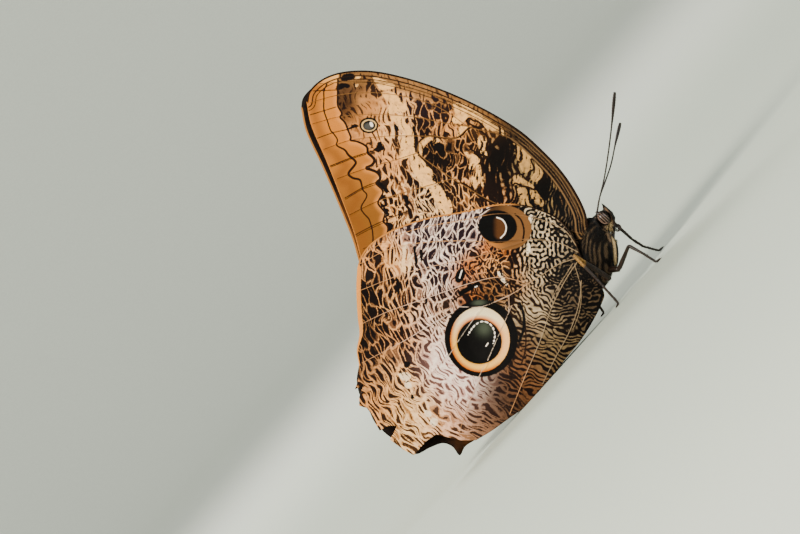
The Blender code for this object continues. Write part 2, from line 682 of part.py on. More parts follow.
def main():
    clear_scene()
    stance = bpy.data.objects.new("stance", None)
    stance.location = (ROOT_X * MM, ROOT_Y * MM, ROOT_Z * MM)
    stance.rotation_euler = (0.0, STANCE_TURN, 0.0)
    bpy.context.scene.collection.objects.link(stance)

    wing_scales = make_material("forewing scales", (0.42, 0.26, 0.13), 0.7)
    hind_scales = make_material("hindwing scales", (0.36, 0.26, 0.17), 0.7)
    fur = make_material("body fur", (0.10, 0.06, 0.045), 0.9)
    eye_glass = make_material("compound eye", (0.07, 0.045, 0.04), 0.25)
    chitin = make_material("leg and feeler shell", (0.22, 0.13, 0.08), 0.5)

    head = ball("head", (HEAD_CENTRE[0], 0.0, HEAD_CENTRE[1]), HEAD_HALF, EYE_SLANT, 3, fur, stance)
    thorax = loft("thorax", smooth_stations(THORAX, 1.4), 20, fur, stance)
    abdomen = loft("abdomen", abdomen_stations(), 16, fur, stance)
    head_room = room_of(head)
    thorax_room = room_of(thorax)
    rooms = [head_room, thorax_room]
    for name, side in (("eye_left", 1), ("eye_right", -1)):
        place = (EYE_CENTRE[0], side * EYE_CENTRE[1], EYE_CENTRE[2])
        eye = ball(name, place, EYE_HALF, EYE_SLANT, 3, eye_glass, stance)
        rooms.append(room_of(eye))
        cut_clear(head, rooms[-1:])
    cut_clear(thorax, [head_room])
    cut_clear(abdomen, [thorax_room])

    for side in (1, -1):
        cut_clear(forewing(side, wing_scales, stance), [thorax_room])
        cut_clear(hindwing(side, hind_scales, stance), [thorax_room])
        cut_clear(brush_foot(side, fur, stance), [thorax_room])
        cut_clear(palpus(side, fur, stance), [head_room])
    for limb in walking_legs(chitin, stance):
        cut_clear(limb, [thorax_room])
    cut_clear(antenna("antenna_left", ANTENNA_LEFT, 1, chitin, stance), [head_room])
    cut_clear(antenna("antenna_right", ANTENNA_RIGHT, -1, chitin, stance), [head_room])
    cut_clear(proboscis(chitin, stance), [head_room])
    for room in rooms:
        bpy.data.objects.remove(room, do_unlink=True)


main()
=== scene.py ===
# %% [markdown]
# # A giant owl butterfly at rest
#
# The animal stands still with its wings closed over its back, so what shows is the underside of
# the wings: ripples of cream and brown scales, and large eyespots. Its solids come packed from the
# part. This script dresses them: each wing gets a fine sheet with its markings, the body gets a
# skin and a coat of hair, and the eyes, feelers and legs get their details.

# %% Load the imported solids
import math

import bpy
import numpy as np
from mathutils import Matrix, Quaternion, Vector
from mathutils.geometry import delaunay_2d_cdt
from mathutils.kdtree import KDTree


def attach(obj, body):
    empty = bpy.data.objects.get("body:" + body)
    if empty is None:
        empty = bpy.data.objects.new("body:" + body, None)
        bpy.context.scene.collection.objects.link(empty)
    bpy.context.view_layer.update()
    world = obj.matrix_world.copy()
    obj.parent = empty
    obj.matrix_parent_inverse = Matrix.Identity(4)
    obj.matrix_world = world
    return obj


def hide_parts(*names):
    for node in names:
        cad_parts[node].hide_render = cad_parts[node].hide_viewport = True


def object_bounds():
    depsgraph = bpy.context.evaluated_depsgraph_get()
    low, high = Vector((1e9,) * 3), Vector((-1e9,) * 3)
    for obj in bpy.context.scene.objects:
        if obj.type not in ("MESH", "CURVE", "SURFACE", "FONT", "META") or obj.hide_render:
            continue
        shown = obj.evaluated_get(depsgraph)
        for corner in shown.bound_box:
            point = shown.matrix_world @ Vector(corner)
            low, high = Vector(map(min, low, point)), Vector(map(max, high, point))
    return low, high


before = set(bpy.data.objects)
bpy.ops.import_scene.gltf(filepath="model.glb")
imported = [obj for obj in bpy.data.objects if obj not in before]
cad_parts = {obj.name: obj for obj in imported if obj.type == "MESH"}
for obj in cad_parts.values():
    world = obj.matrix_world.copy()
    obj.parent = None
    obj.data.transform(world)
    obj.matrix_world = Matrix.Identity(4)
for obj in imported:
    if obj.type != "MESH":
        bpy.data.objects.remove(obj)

CAD_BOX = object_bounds()
MM = 0.001
SOLIDS_SIZE = (CAD_BOX[1] - CAD_BOX[0]) / MM
print("solids:", len(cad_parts), "box in mm:", [round(v, 1) for v in SOLIDS_SIZE])

# %% [markdown]
# ## One drawing for everything
#
# A closed butterfly is nearly flat, so it is easiest to draw it in its side view, in millimetres:
# x runs to the right, z up, and y to the animal's left, from the root of the wings. The whole
# drawing is then turned about Y onto the floor, as the animal leans. Markings were traced in the
# units of an 800 by 534 picture of that side view, at 4.375 units to the millimetre, and one
# function turns them into millimetres.

# %% The drawing's place on the floor
STANCE_TURN = math.radians(48)
ROOT = np.array([18.98, -1.25, 15.96])
UNITS_PER_MM = 4.375
ROOT_UNIT = np.array([588.0, 232.0])


def leaned(ways, turn=STANCE_TURN):
    """Places or directions of the drawing, turned about Y as the animal leans."""
    x, y, z = np.asarray(ways, float).T
    cosine = math.cos(turn)
    sine = math.sin(turn)
    return np.column_stack([x * cosine + z * sine, y, z * cosine - x * sine])


def on_floor(points):
    """Places of the drawing (x, y, z in mm) as places in the room, in metres."""
    return (leaned(points) + ROOT) * MM


def in_drawing(points):
    """Places in the room, in metres, as places of the drawing in mm."""
    return leaned(np.asarray(points, float) / MM - ROOT, -STANCE_TURN)


def in_mm(places):
    """Traced places, counted across and down, as places of the drawing in mm."""
    return (np.array(places, float) - ROOT_UNIT) * np.array([1, -1]) / UNITS_PER_MM


def drawn(text):
    """A line of places of the drawing in mm, written as 'x,z x,z'."""
    return np.array([[float(number) for number in pair.split(",")] for pair in text.split()])


def traced(text):
    """A line of traced places, written as 'across,down across,down', in the drawing's mm."""
    return in_mm(drawn(text))


def floor_to_drawing(x, z):
    """Side-view place of a point given along the floor and above it, in mm."""
    place = in_drawing(np.array([[x, ROOT[1], z]]) * MM)[0]
    return (place[0], place[2])


print("the wings' root stands at", on_floor([(0, 0, 0)])[0].round(4))

# %% [markdown]
# ## Lines and distances
#
# Almost every marking of a wing is a question of distance: how far is this spot from a vein, from
# the margin, or from the edge of an eyespot? These helpers draw a smooth curve through a few
# places, and measure distances to lines. A distance is smooth, so a mesh can carry it, and the
# material can cut it as sharply as it likes.

# %% Curves and distances
def smooth_curve(points, spacing):
    """Places about one spacing apart on a smooth curve through the given ones."""
    knots = np.array(points, float)
    padded = np.vstack([2 * knots[0] - knots[1], knots, 2 * knots[-1] - knots[-2]])
    dense = [knots[0]]
    fine_steps = 10
    for p0, p1, p2, p3 in zip(padded[:-3], padded[1:-2], padded[2:-1], padded[3:]):
        gaps = [math.sqrt(float(np.linalg.norm(b - a))) + 1e-9 for a, b in ((p0, p1), (p1, p2), (p2, p3))]
        t0, t1, t2, t3 = np.cumsum([0.0] + gaps)
        for step in range(1, fine_steps + 1):
            t = t1 + (t2 - t1) * step / fine_steps
            a1 = ((t1 - t) * p0 + (t - t0) * p1) / (t1 - t0)
            a2 = ((t2 - t) * p1 + (t - t1) * p2) / (t2 - t1)
            a3 = ((t3 - t) * p2 + (t - t2) * p3) / (t3 - t2)
            b1 = ((t2 - t) * a1 + (t - t0) * a2) / (t2 - t0)
            b2 = ((t3 - t) * a2 + (t - t1) * a3) / (t3 - t1)
            dense.append(((t2 - t) * b1 + (t - t1) * b2) / (t2 - t1))
    return resample(np.array(dense), spacing)


def resample(line, spacing):
    """The same line with its places about one spacing apart."""
    line = np.asarray(line, float)
    travelled = np.concatenate([[0.0], np.cumsum(np.linalg.norm(np.diff(line, axis=0), axis=1))])
    count = max(2, round(travelled[-1] / spacing) + 1)
    stops = np.linspace(0.0, travelled[-1], count)
    return np.column_stack([np.interp(stops, travelled, line[:, k]) for k in range(line.shape[1])])


def distance_to_line(points, line, reach=99.0):
    """Distance of each place from a line. Beyond the reach it is only known to be larger."""
    order = np.argsort(points[:, 0])
    swept = points[order]
    columns = swept[:, 0]
    squares = np.full(len(points), float(reach) ** 2)
    for start, end in zip(line[:-1], line[1:]):
        first = np.searchsorted(columns, min(start[0], end[0]) - reach)
        last = np.searchsorted(columns, max(start[0], end[0]) + reach)
        run = end - start
        length = run @ run
        if first == last or not length:
            continue
        offset = swept[first:last] - start
        share = np.clip(offset @ run / length, 0, 1)
        gap = offset - share[:, None] * run
        square = gap[:, 0] ** 2 + gap[:, 1] ** 2
        squares[first:last] = np.minimum(squares[first:last], square)
    found = np.empty(len(points))
    found[order] = np.sqrt(squares)
    return found


def inside(points, outline):
    """Which places lie inside a closed outline."""
    x, z = points.T
    found = np.zeros(len(x), bool)
    for (x1, z1), (x2, z2) in zip(outline, np.roll(outline, -1, axis=0)):
        if z1 != z2:
            crosses = (z1 > z) != (z2 > z)
            found ^= crosses & (x < (x2 - x1) * (z - z1) / (z2 - z1) + x1)
    return found


def smooth_step(values):
    share = np.clip(values, 0, 1)
    return share * share * (3 - 2 * share)


# %% [markdown]
# ## The body's middle line and how the wings part round it
#
# Closed wings touch each other far from the body, and bulge round it near the root. The sheets
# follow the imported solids: their outer faces lie where the solids' outer faces are.

# %% Sheet of a closed wing
BODY_LINE = drawn("2.7,2.5 1.8,1.0 1.5,-1.6 1.6,-4.6 1.7,-7.6 1.4,-10.3 -1.3,-15.2 -4.5,-19.4 "
                   "-8.0,-23.7 -11.2,-27.5 -13.6,-30.4")
FLARE = 2.0
FLARE_REACH = 14.0
SOLID_THICKNESS = 0.5
MEMBRANE = 0.14
FOREWING_INSIDE = 0.25
HINDWING_INSIDE = 1.35


def flare(points):
    return FLARE * smooth_step(1 - distance_to_line(points, BODY_LINE, FLARE_REACH) / FLARE_REACH)


# %% [markdown]
# ## Outlines and veins of the wings
#
# The outline of a wing and its veins are what an entomologist would draw first. The costa is the
# strong front edge. The outer margin runs from the tip down. The right hindwing's lower margin is
# torn, as on an animal that has flown for weeks, and the left one is whole.

# %% Outlines and veins
def drawn_lines(texts):
    """Named lines of the drawing."""
    return {name: drawn(text) for name, text in texts.items()}


FOREWING_COSTA = drawn("0.0,0.7 -0.5,4.3 -3.0,9.6 -6.4,14.5 -11.0,19.3 -15.5,23.2 -24.7,28.7 "
                        "-36.1,33.6 -47.5,36.6 -53.3,36.9 -57.8,36.2 -61.3,34.6 -63.8,32.0 "
                        "-64.3,29.7")
FOREWING_OUTER = drawn("-64.3,29.7 -63.4,24.8 -59.9,16.5 -56.5,8.0 -53.3,-0.7 -51.9,-5.9 "
                        "-49.8,-10.8")
FOREWING_INNER = drawn("-49.8,-10.8 -46.4,-13.0 -36.1,-12.8 -24.7,-10.3 -13.3,-6.9 -4.1,-3.2 "
                        "0.4,-1.8")
FOREWING_VEINS = drawn_lines({
    "costal": "-1.0,2.2 -6.6,12.6 -15.2,21.4 -24.6,26.7 -36.2,31.6 -49.8,34.4 -61.4,33.9",
    "radial": "-1.0,1.4 -3.9,9.1 -7.5,14.2 -12.1,18.3 -16.7,21.0 -21.3,22.6 -27.2,24.1 -31.5,27.0 "
              "-36.1,29.4 -43.0,31.2 -51.0,31.9 -57.6,31.2 -63.4,29.6",
    "first median": "-27.2,24.1 -32.7,24.9 -38.9,26.2 -49.8,26.9 -57.0,26.3 -63.0,24.7",
    "cell end": "-27.2,24.1 -30.4,21.5 -36.1,21.9 -38.6,20.3 -39.1,18.1",
    "second median": "-36.1,21.9 -43.8,22.0 -48.8,21.7 -54.6,20.9 -60.4,18.9",
    "cubital": "-0.5,-0.6 -6.4,0.9 -13.3,3.4 -22.2,7.1 -30.9,12.2 -36.8,16.3 -39.1,18.1",
    "third median": "-39.1,18.1 -43.0,16.8 -51.2,14.4 -57.3,12.2",
    "first cubital": "-30.9,12.2 -38.4,10.1 -47.7,7.2 -54.6,3.9",
    "second cubital": "-17.8,5.3 -24.7,3.9 -33.8,2.3 -41.8,0.0 -51.4,-3.8",
    "anal": "-0.7,-1.2 -6.4,-2.5 -15.5,-4.6 -27.0,-6.9 -38.4,-8.2 -49.4,-9.2",
})
HINDWING_COSTA = drawn("-1.6,-5.5 -3.4,-0.9 -6.6,2.9 -11.0,5.2 -16.0,6.4 -21.0,6.3 -29.0,4.6 "
                        "-37.3,3.1 -45.3,0.2 -49.6,-2.6 -51.9,-5.6 -52.7,-8.2")
HINDWING_OUTER = drawn("-52.7,-8.2 -52.9,-12.8 -52.6,-19.4 -52.2,-23.3 -52.8,-27.2 -52.3,-30.4")
TORN_EDGE = drawn("-52.3,-30.4 -52.6,-34.0 -53.3,-36.0 -51.2,-34.7 -52.3,-37.6 -52.3,-39.7 "
                   "-50.2,-40.3 -49.2,-42.7 -47.6,-45.4 -45.6,-44.2 -43.7,-44.3 -44.4,-45.9 "
                   "-45.3,-47.4 -42.1,-49.8 -39.8,-51.0 -37.0,-47.8 -34.7,-46.2 -31.9,-46.9 "
                   "-29.0,-47.6 -25.6,-47.6")
WHOLE_EDGE = drawn("-52.3,-30.4 -52.8,-34.2 -51.8,-38.2 -49.0,-42.4 -47.0,-45.4 -44.4,-47.6 "
                    "-41.8,-49.8 -39.2,-50.9 -36.0,-49.4 -33.0,-48.4 -30.9,-49.2 -29.2,-51.2 "
                    "-28.0,-49.2 -25.6,-47.6")
FLAT_FROM = floor_to_drawing(-21.2, 0.0)
FLAT_TO = floor_to_drawing(-15.2, 0.0)
REAR_EDGE = [(-25.6, -47.6), (-21.6, -45.2), (-18.2, -42.7), FLAT_FROM]
LOWER_EDGE = [FLAT_TO, floor_to_drawing(-10.0, 0.2), floor_to_drawing(-5.0, 0.45),
              floor_to_drawing(0.0, 0.75), (0.9, -20.6), (3.0, -16.5), (3.7, -14.2), (2.9, -12.4),
              (1.2, -10.6)]
HINDWING_VEINS = drawn_lines({
    "subcostal": "-2.6,-3.4 -5.4,0.4 -11.0,2.9 -20.1,4.2 -29.3,2.6 -38.4,0.9 -44.8,-1.3 -50.4,-4.5",
    "radial": "-2.3,-4.6 -6.4,-2.6 -13.3,-1.6 -20.1,-2.2 -32.0,-2.0 -40.7,-2.8 -45.9,-4.1 -52.0,-7.2",
    "first median": "-13.3,-1.6 -19.0,-3.6 -27.2,-6.1 -34.7,-7.6 -42.1,-9.5 -52.3,-13.4",
    "second median": "-13.7,-11.8 -20.1,-10.3 -26.7,-11.6 -37.0,-15.1 -46.1,-18.3 -51.8,-21.0",
    "cubital": "-2.3,-5.8 -6.7,-7.3 -10.3,-9.6 -13.7,-11.8 -18.1,-14.5 -24.0,-17.0",
    "third median": "-24.0,-17.0 -29.5,-17.8 -35.0,-20.6 -41.8,-24.7 -51.7,-29.9",
    "first cubital": "-24.0,-17.0 -27.0,-21.0 -32.2,-28.1 -38.4,-35.0 -44.1,-40.7 -46.0,-43.0",
    "second cubital": "-18.1,-14.5 -18.2,-18.0 -20.4,-23.0 -22.4,-28.6 -27.4,-39.5 -29.6,-46.3",
    "second anal": "-2.6,-6.9 -4.8,-10.2 -8.2,-16.7 -11.0,-24.7 -14.4,-32.7 -17.9,-41.6",
    "third anal": "-1.6,-11.0 -2.2,-16.4 -4.2,-22.4 -7.6,-28.8 -10.4,-34.6",
})
LEFT_FOREWING_TURN = math.radians(1.5)
LEFT_FOREWING_GROWTH = 1.008
EDGE_SPACING = 0.26


def closed_outline(runs):
    """One closed outline from runs that start where the last one ends. A straight run stays so."""
    outline = []
    for points, straight in runs:
        line = resample(points, EDGE_SPACING) if straight else smooth_curve(points, EDGE_SPACING)
        outline += [tuple(point) for point in line[:-1]]
    return np.array(outline)


FOREWING_OUTLINE = closed_outline([
    (FOREWING_COSTA, False), (FOREWING_OUTER, False), (FOREWING_INNER, False),
    ([FOREWING_INNER[-1], FOREWING_COSTA[0]], True)])


def hindwing_outline(edge, straight):
    return closed_outline([
        (HINDWING_COSTA, False), (HINDWING_OUTER, False), (edge, straight), (REAR_EDGE, False),
        ([FLAT_FROM, FLAT_TO], True), (LOWER_EDGE, False), ([LOWER_EDGE[-1], HINDWING_COSTA[0]], True)])


TORN_OUTLINE = hindwing_outline(TORN_EDGE, True)
WHOLE_OUTLINE = hindwing_outline(WHOLE_EDGE, False)
print("outline places:", len(FOREWING_OUTLINE), len(TORN_OUTLINE), len(WHOLE_OUTLINE))

# %% [markdown]
# ## Markings as depths
#
# A marking is stored as a depth: how many millimetres a place lies inside it, or outside it, where
# the depth is below zero. A blot is a closed outline, a line is its own width, and an eyespot is a
# set of ellipses one inside the other. Markings of one colour share one depth, so that one layer of
# the material paints them all.

# %% Depths
REACH = 1.2


def blot_depth(points, outline):
    """Depth inside a smooth closed blot."""
    line = smooth_curve(np.vstack([outline, outline[:1]]), 0.3)
    low = line.min(0) - REACH
    high = line.max(0) + REACH
    near = np.flatnonzero(((points > low) & (points < high)).all(1))
    depth = np.full(len(points), -REACH)
    if len(near):
        distance = distance_to_line(points[near], line, REACH)
        depth[near] = np.where(inside(points[near], line[:-1]), distance, -distance)
    return depth


def stroke_depth(points, line, half_width):
    """Depth inside a stroke of even width along a line."""
    return half_width - distance_to_line(points, line, REACH + half_width)


def oval_depth(points, middle, halves, tilt=0.0):
    """Depth inside an ellipse with its middle and half axes in traced units, turned by a tilt."""
    half = np.array(halves, float) / UNITS_PER_MM
    turn = math.radians(tilt)
    away = points - in_mm(middle)
    u = away[:, 0] * math.cos(turn) + away[:, 1] * math.sin(turn)
    v = away[:, 1] * math.cos(turn) - away[:, 0] * math.sin(turn)
    reach = np.hypot(u / half[0], v / half[1])
    return np.clip((1 - reach) * half.min(), -REACH, 9.0)


def deepest(depths):
    return np.max(depths, axis=0)


# %% [markdown]
# ## The ripples: a labyrinth grown by itself
#
# The fine ripples are a labyrinth: dark marks of even width that branch and stop. Such patterns
# grow in nature where a colour builds itself up close by and hinders itself a little further off.
# The same is done here on a square sheet: start from random specks, keep only waves of about one
# width, harden them, and repeat. Sorting the result by height makes any share of it dark on demand.

# %% Labyrinth
CELLS = 512
CELLS_PER_WAVE = 8


def ranked(sheet):
    """The same sheet with its values replaced by their ranks, from 0 to 1."""
    ranks = np.empty(sheet.size)
    ranks[np.argsort(sheet, axis=None)] = np.linspace(0, 1, sheet.size)
    return ranks.reshape(sheet.shape)


def labyrinth(seed, stretch, straightness, spread, rounds):
    """A square sheet of values from 0 to 1 with ripples one wave apart, drawn out along its columns."""
    rng = np.random.default_rng(seed)
    across = np.fft.fftfreq(CELLS)[:, None] * CELLS_PER_WAVE
    along = np.fft.fftfreq(CELLS)[None, :] * CELLS_PER_WAVE * stretch
    pitch = np.hypot(across, along)
    steep = (across / np.maximum(pitch, 1e-9)) ** 2
    gain = np.exp(-((pitch - 1) / spread) ** 2) * (1 - straightness + straightness * steep)
    sheet = rng.standard_normal((CELLS, CELLS))
    for _ in range(rounds):
        sheet = np.fft.ifft2(np.fft.fft2(sheet) * gain).real
        sheet = np.tanh(1.2 * sheet / sheet.std())
    clouds = np.fft.fft2(rng.standard_normal((CELLS, CELLS))) * np.exp(-(pitch / 0.45) ** 2)
    clouds = np.fft.ifft2(clouds).real
    return ranked(sheet / sheet.std() + 0.35 * clouds / clouds.std())


def cloud_sheet(seed):
    """A square sheet of soft clouds, about eight waves across each."""
    rng = np.random.default_rng(seed)
    pitch = np.hypot(np.fft.fftfreq(CELLS)[:, None], np.fft.fftfreq(CELLS)[None, :]) * CELLS_PER_WAVE
    clouds = np.fft.fft2(rng.standard_normal((CELLS, CELLS))) * np.exp(-(pitch / 0.22) ** 2)
    return ranked(np.fft.ifft2(clouds).real)


def read_sheet(sheet, across, along, wave):
    """Values of a labyrinth at places given in mm, with one ripple per wave."""
    u = np.mod(across / wave * CELLS_PER_WAVE, CELLS)
    v = np.mod(along / wave * CELLS_PER_WAVE, CELLS)
    u0 = np.floor(u).astype(int) % CELLS
    v0 = np.floor(v).astype(int) % CELLS
    u1 = (u0 + 1) % CELLS
    v1 = (v0 + 1) % CELLS
    du = u - np.floor(u)
    dv = v - np.floor(v)
    low = sheet[u0, v0] * (1 - dv) + sheet[u0, v1] * dv
    high = sheet[u1, v0] * (1 - dv) + sheet[u1, v1] * dv
    return low * (1 - du) + high * du


RIPPLED = labyrinth(3, 1.8, 0.45, 0.45, 3)
STREAKED = labyrinth(5, 2.3, 0.35, 0.40, 4)
TANGLED = labyrinth(8, 1.1, 0.1, 0.38, 4)
CLOUDS = cloud_sheet(11)
print("share of ripples below one half:", round(float((RIPPLED < 0.5).mean()), 2))

# %% [markdown]
# ## Where the ripples run
#
# On the forewing the ripples stand across the wing like a slightly opened fan. On the hindwing
# they lie in arcs round the root, so that with the wings closed the two patterns run on into each
# other. Their spacing is about 1 mm, and is finest beside the abdomen.

# %% Ripple values on a wing
FAN_POINT = in_mm((520, 693))
FAN_RADIUS = 124.0
ISLAND = 1.2
ARC_POINT = in_mm((575, 250))
ARC_RADIUS = 28.0


def soft_spot(points, middle, reach):
    """One at a traced place, falling smoothly away over a reach in mm."""
    return np.exp(-((points - in_mm(middle)) ** 2).sum(1) / (2 * reach ** 2))


def strayed(points, amount):
    """The same places, each strayed a little, so that ripples don't run too straight."""
    east = read_sheet(CLOUDS, points[:, 0], points[:, 1], 1.0) - 0.5
    north = read_sheet(CLOUDS, points[:, 0] + 29, points[:, 1] + 17, 1.0) - 0.5
    return points + amount * np.column_stack([east, north])


def forewing_course(points, stray):
    """Distance across and along the ripples of a forewing, in mm."""
    away = strayed(points, stray) - FAN_POINT
    return np.arctan2(away[:, 0], away[:, 1]) * FAN_RADIUS, np.hypot(away[:, 0], away[:, 1])


def hindwing_course(points, stray):
    """Distance across and along the ripples of a hindwing, in mm."""
    away = strayed(points, stray) - ARC_POINT
    turn = np.arctan2(away[:, 1] + away[:, 0], -away[:, 0] + away[:, 1])
    return np.hypot(away[:, 0], away[:, 1]), turn * ARC_RADIUS


def island_flow(course, length, share):
    """Where a point lies in a net of islands, and half the gap between them, counted in islands."""
    gap = 0.19 * (1 - np.clip(share, 0.01, 1))
    return np.column_stack([course[0] / ISLAND, course[1] / ISLAND / length, gap])


def forewing_ripples(points):
    across, along = forewing_course(points, 1.6)
    coarse = read_sheet(STREAKED, across, along, 1.05)
    fine = read_sheet(RIPPLED, across + 37.0, along, 0.98)
    low = smooth_step((-points[:, 1] + 14.0) / 10.0)
    return coarse * (1 - low) + fine * low


def hindwing_ripples(points):
    radius, turn = hindwing_course(points, 1.6)
    disc = read_sheet(RIPPLED, radius, turn, 1.0)
    fine = read_sheet(STREAKED, radius + 21.0, turn, 0.88)
    knots = read_sheet(TANGLED, points[:, 0], points[:, 1], 0.98)
    near_body = smooth_step((points[:, 0] + 17.0) / 4.0)
    tangle = np.clip(soft_spot(points, (548, 244), 4.2) * 1.8, 0, 1)
    ripples = disc * (1 - near_body) + fine * near_body
    return ripples * (1 - tangle) + knots * tangle


# %% [markdown]
# ## The ground colours
#
# Under the ripples the colour of a wing changes slowly: orange tan, brown, cream, and a violet
# white bloom in the middle of the hindwing. A painter would mix a few paints and note where each
# goes. Each line below names a place, how far its paints reach in mm, a light, a middle and a dark
# paint, and how much of the ground the ripples cover. In between they are blended by nearness.

# %% Paints and their places on the two wings
PAINTS = {
    "white": "#FFF0E8", "milk": "#F8E8DC", "cream": "#F8DCB8", "apricot": "#F2C898",
    "peach": "#EEC8B0", "gold": "#E6B480", "tan": "#D8A878", "dull tan": "#C49A68",
    "orange tan": "#C08850", "light brown": "#B48860", "ochre": "#A07040",
    "rose brown": "#A07C60", "brown": "#8A6040", "bark": "#705034", "dark bark": "#583A20",
    "umber": "#462C18", "coffee": "#3A2214", "dark coffee": "#2A140C", "pitch": "#1C0E08",
    "ink": "#100804", "plum": "#34222A", "sand": "#D0C0A8", "grey tan": "#A48C64",
    "lilac grey": "#A08A84", "rose": "#B89888", "lilac": "#E2C4BC", "mauve": "#8C6A64",
    "stone": "#8C7858", "grey brown": "#6A5844", "olive": "#504030", "dark olive": "#281E14",
}
FOREWING_TONES = [
    (353, 92, 2.8, "bark", "dark bark", "dark coffee", 0.12),
    (350, 103, 1.4, "umber", "coffee", "dark coffee", 0.30),
    (362, 101, 1.1, "tan", "dull tan", "brown", 0.10),
    (372, 112, 2.4, "orange tan", "ochre", "dark bark", 0.08),
    (366, 152, 1.8, "orange tan", "ochre", "dark bark", 0.10),
    (396, 84, 2.6, "tan", "brown", "umber", 0.30),
    (402, 100, 3.0, "apricot", "rose brown", "plum", 0.35),
    (430, 106, 3.2, "tan", "bark", "plum", 0.62),
    (386, 122, 2.6, "apricot", "orange tan", "dark bark", 0.16),
    (402, 126, 2.6, "cream", "orange tan", "umber", 0.15),
    (385, 160, 3.0, "gold", "light brown", "umber", 0.25),
    (395, 200, 3.6, "apricot", "ochre", "dark coffee", 0.38),
    (425, 200, 3.6, "cream", "rose brown", "dark coffee", 0.40),
    (420, 130, 2.5, "tan", "brown", "dark coffee", 0.50),
    (440, 152, 3.0, "dull tan", "umber", "pitch", 0.62),
    (462, 165, 3.4, "tan", "bark", "dark coffee", 0.52),
    (462, 192, 3.4, "apricot", "ochre", "coffee", 0.44),
    (452, 120, 2.6, "gold", "ochre", "coffee", 0.32),
    (482, 118, 2.8, "dull tan", "ochre", "dark bark", 0.22),
    (505, 160, 3.6, "stone", "umber", "ink", 0.66),
    (526, 164, 2.4, "grey tan", "grey brown", "coffee", 0.30),
    (546, 195, 3.0, "grey tan", "olive", "ink", 0.55),
    (572, 212, 3.5, "grey brown", "dark olive", "ink", 0.64),
    (490, 202, 2.4, "tan", "brown", "dark coffee", 0.50),
]
HINDWING_TONES = [
    (372, 262, 3.2, "gold", "bark", "dark coffee", 0.50),
    (365, 300, 3.2, "dull tan", "bark", "pitch", 0.62),
    (362, 340, 3.4, "light brown", "dark bark", "pitch", 0.62),
    (370, 372, 3.0, "light brown", "bark", "dark coffee", 0.50),
    (394, 262, 2.6, "apricot", "orange tan", "coffee", 0.25),
    (407, 262, 1.8, "cream", "tan", "coffee", 0.18),
    (420, 258, 2.8, "milk", "lilac grey", "plum", 0.50),
    (400, 300, 3.8, "apricot", "brown", "dark coffee", 0.46),
    (405, 340, 3.8, "gold", "brown", "dark coffee", 0.48),
    (395, 380, 3.8, "apricot", "rose brown", "coffee", 0.40),
    (375, 400, 3.8, "gold", "ochre", "coffee", 0.40),
    (415, 410, 3.8, "cream", "dull tan", "dark bark", 0.26),
    (450, 415, 3.8, "peach", "light brown", "dark bark", 0.29),
    (440, 235, 3.2, "milk", "lilac grey", "plum", 0.48),
    (466, 235, 2.8, "milk", "lilac grey", "plum", 0.46),
    (445, 275, 3.4, "white", "rose", "plum", 0.40),
    (432, 320, 3.2, "milk", "rose", "umber", 0.31),
    (445, 360, 3.6, "white", "lilac", "mauve", 0.22),
    (458, 392, 3.6, "white", "lilac", "mauve", 0.20),
    (478, 262, 2.6, "gold", "brown", "coffee", 0.42),
    (464, 290, 2.4, "orange tan", "bark", "dark coffee", 0.50),
    (500, 262, 2.8, "apricot", "bark", "dark coffee", 0.54),
    (490, 292, 2.6, "ochre", "dark bark", "pitch", 0.56),
    (515, 285, 2.8, "light brown", "bark", "dark coffee", 0.45),
    (545, 240, 3.6, "sand", "grey brown", "ink", 0.57),
    (538, 270, 2.8, "sand", "grey brown", "pitch", 0.56),
    (532, 310, 3.4, "sand", "stone", "coffee", 0.42),
    (565, 300, 3.8, "grey brown", "dark olive", "ink", 0.66),
    (545, 345, 3.8, "stone", "olive", "pitch", 0.50),
    (524, 350, 2.4, "brown", "dark bark", "dark coffee", 0.45),
    (520, 375, 3.4, "brown", "dark bark", "dark coffee", 0.42),
    (498, 398, 3.6, "dark bark", "umber", "dark coffee", 0.35),
    (478, 418, 3.2, "brown", "bark", "coffee", 0.32),
    (577, 262, 3.0, "olive", "dark olive", "ink", 0.66),
    (574, 232, 1.7, "olive", "dark olive", "ink", 0.78),
    (568, 218, 1.1, "grey brown", "dark olive", "ink", 0.74),
    (564, 272, 1.4, "olive", "dark olive", "ink", 0.72),
    (527, 325, 2.0, "bark", "umber", "pitch", 0.55),
    (480, 297, 1.6, "brown", "dark bark", "pitch", 0.60),
    (440, 312, 1.6, "dull tan", "brown", "coffee", 0.40),
    (361, 292, 1.6, "brown", "umber", "pitch", 0.70),
    (404, 377, 1.4, "cream", "tan", "dark bark", 0.16),
    (430, 416, 1.5, "cream", "tan", "dark bark", 0.14),
    (395, 285, 1.6, "tan", "bark", "pitch", 0.60),
]


# How much red, green and blue light add to the brightness that an eye sees
EYE_WEIGHTS = (0.2126, 0.7152, 0.0722)


def linear(hex_colour):
    """A colour written as in a drawing program, as the linear values that light adds up in."""
    values = [int(hex_colour[k:k + 2], 16) / 255 for k in (1, 3, 5)]
    return [v / 12.92 if v <= 0.04045 else ((v + 0.055) / 1.055) ** 2.4 for v in values]


def pigment(hex_colour):
    """The pigment of a tone as seen: daylight and the film pale it, so it is deeper and richer."""
    seen = np.array(linear(hex_colour))
    brightness = seen @ EYE_WEIGHTS
    hue = (seen / brightness) ** (0.9 + 1.05 * math.sqrt(brightness))
    hue /= hue @ EYE_WEIGHTS
    return list(np.clip(0.93 * brightness ** 1.30 * hue, 0, 0.92))


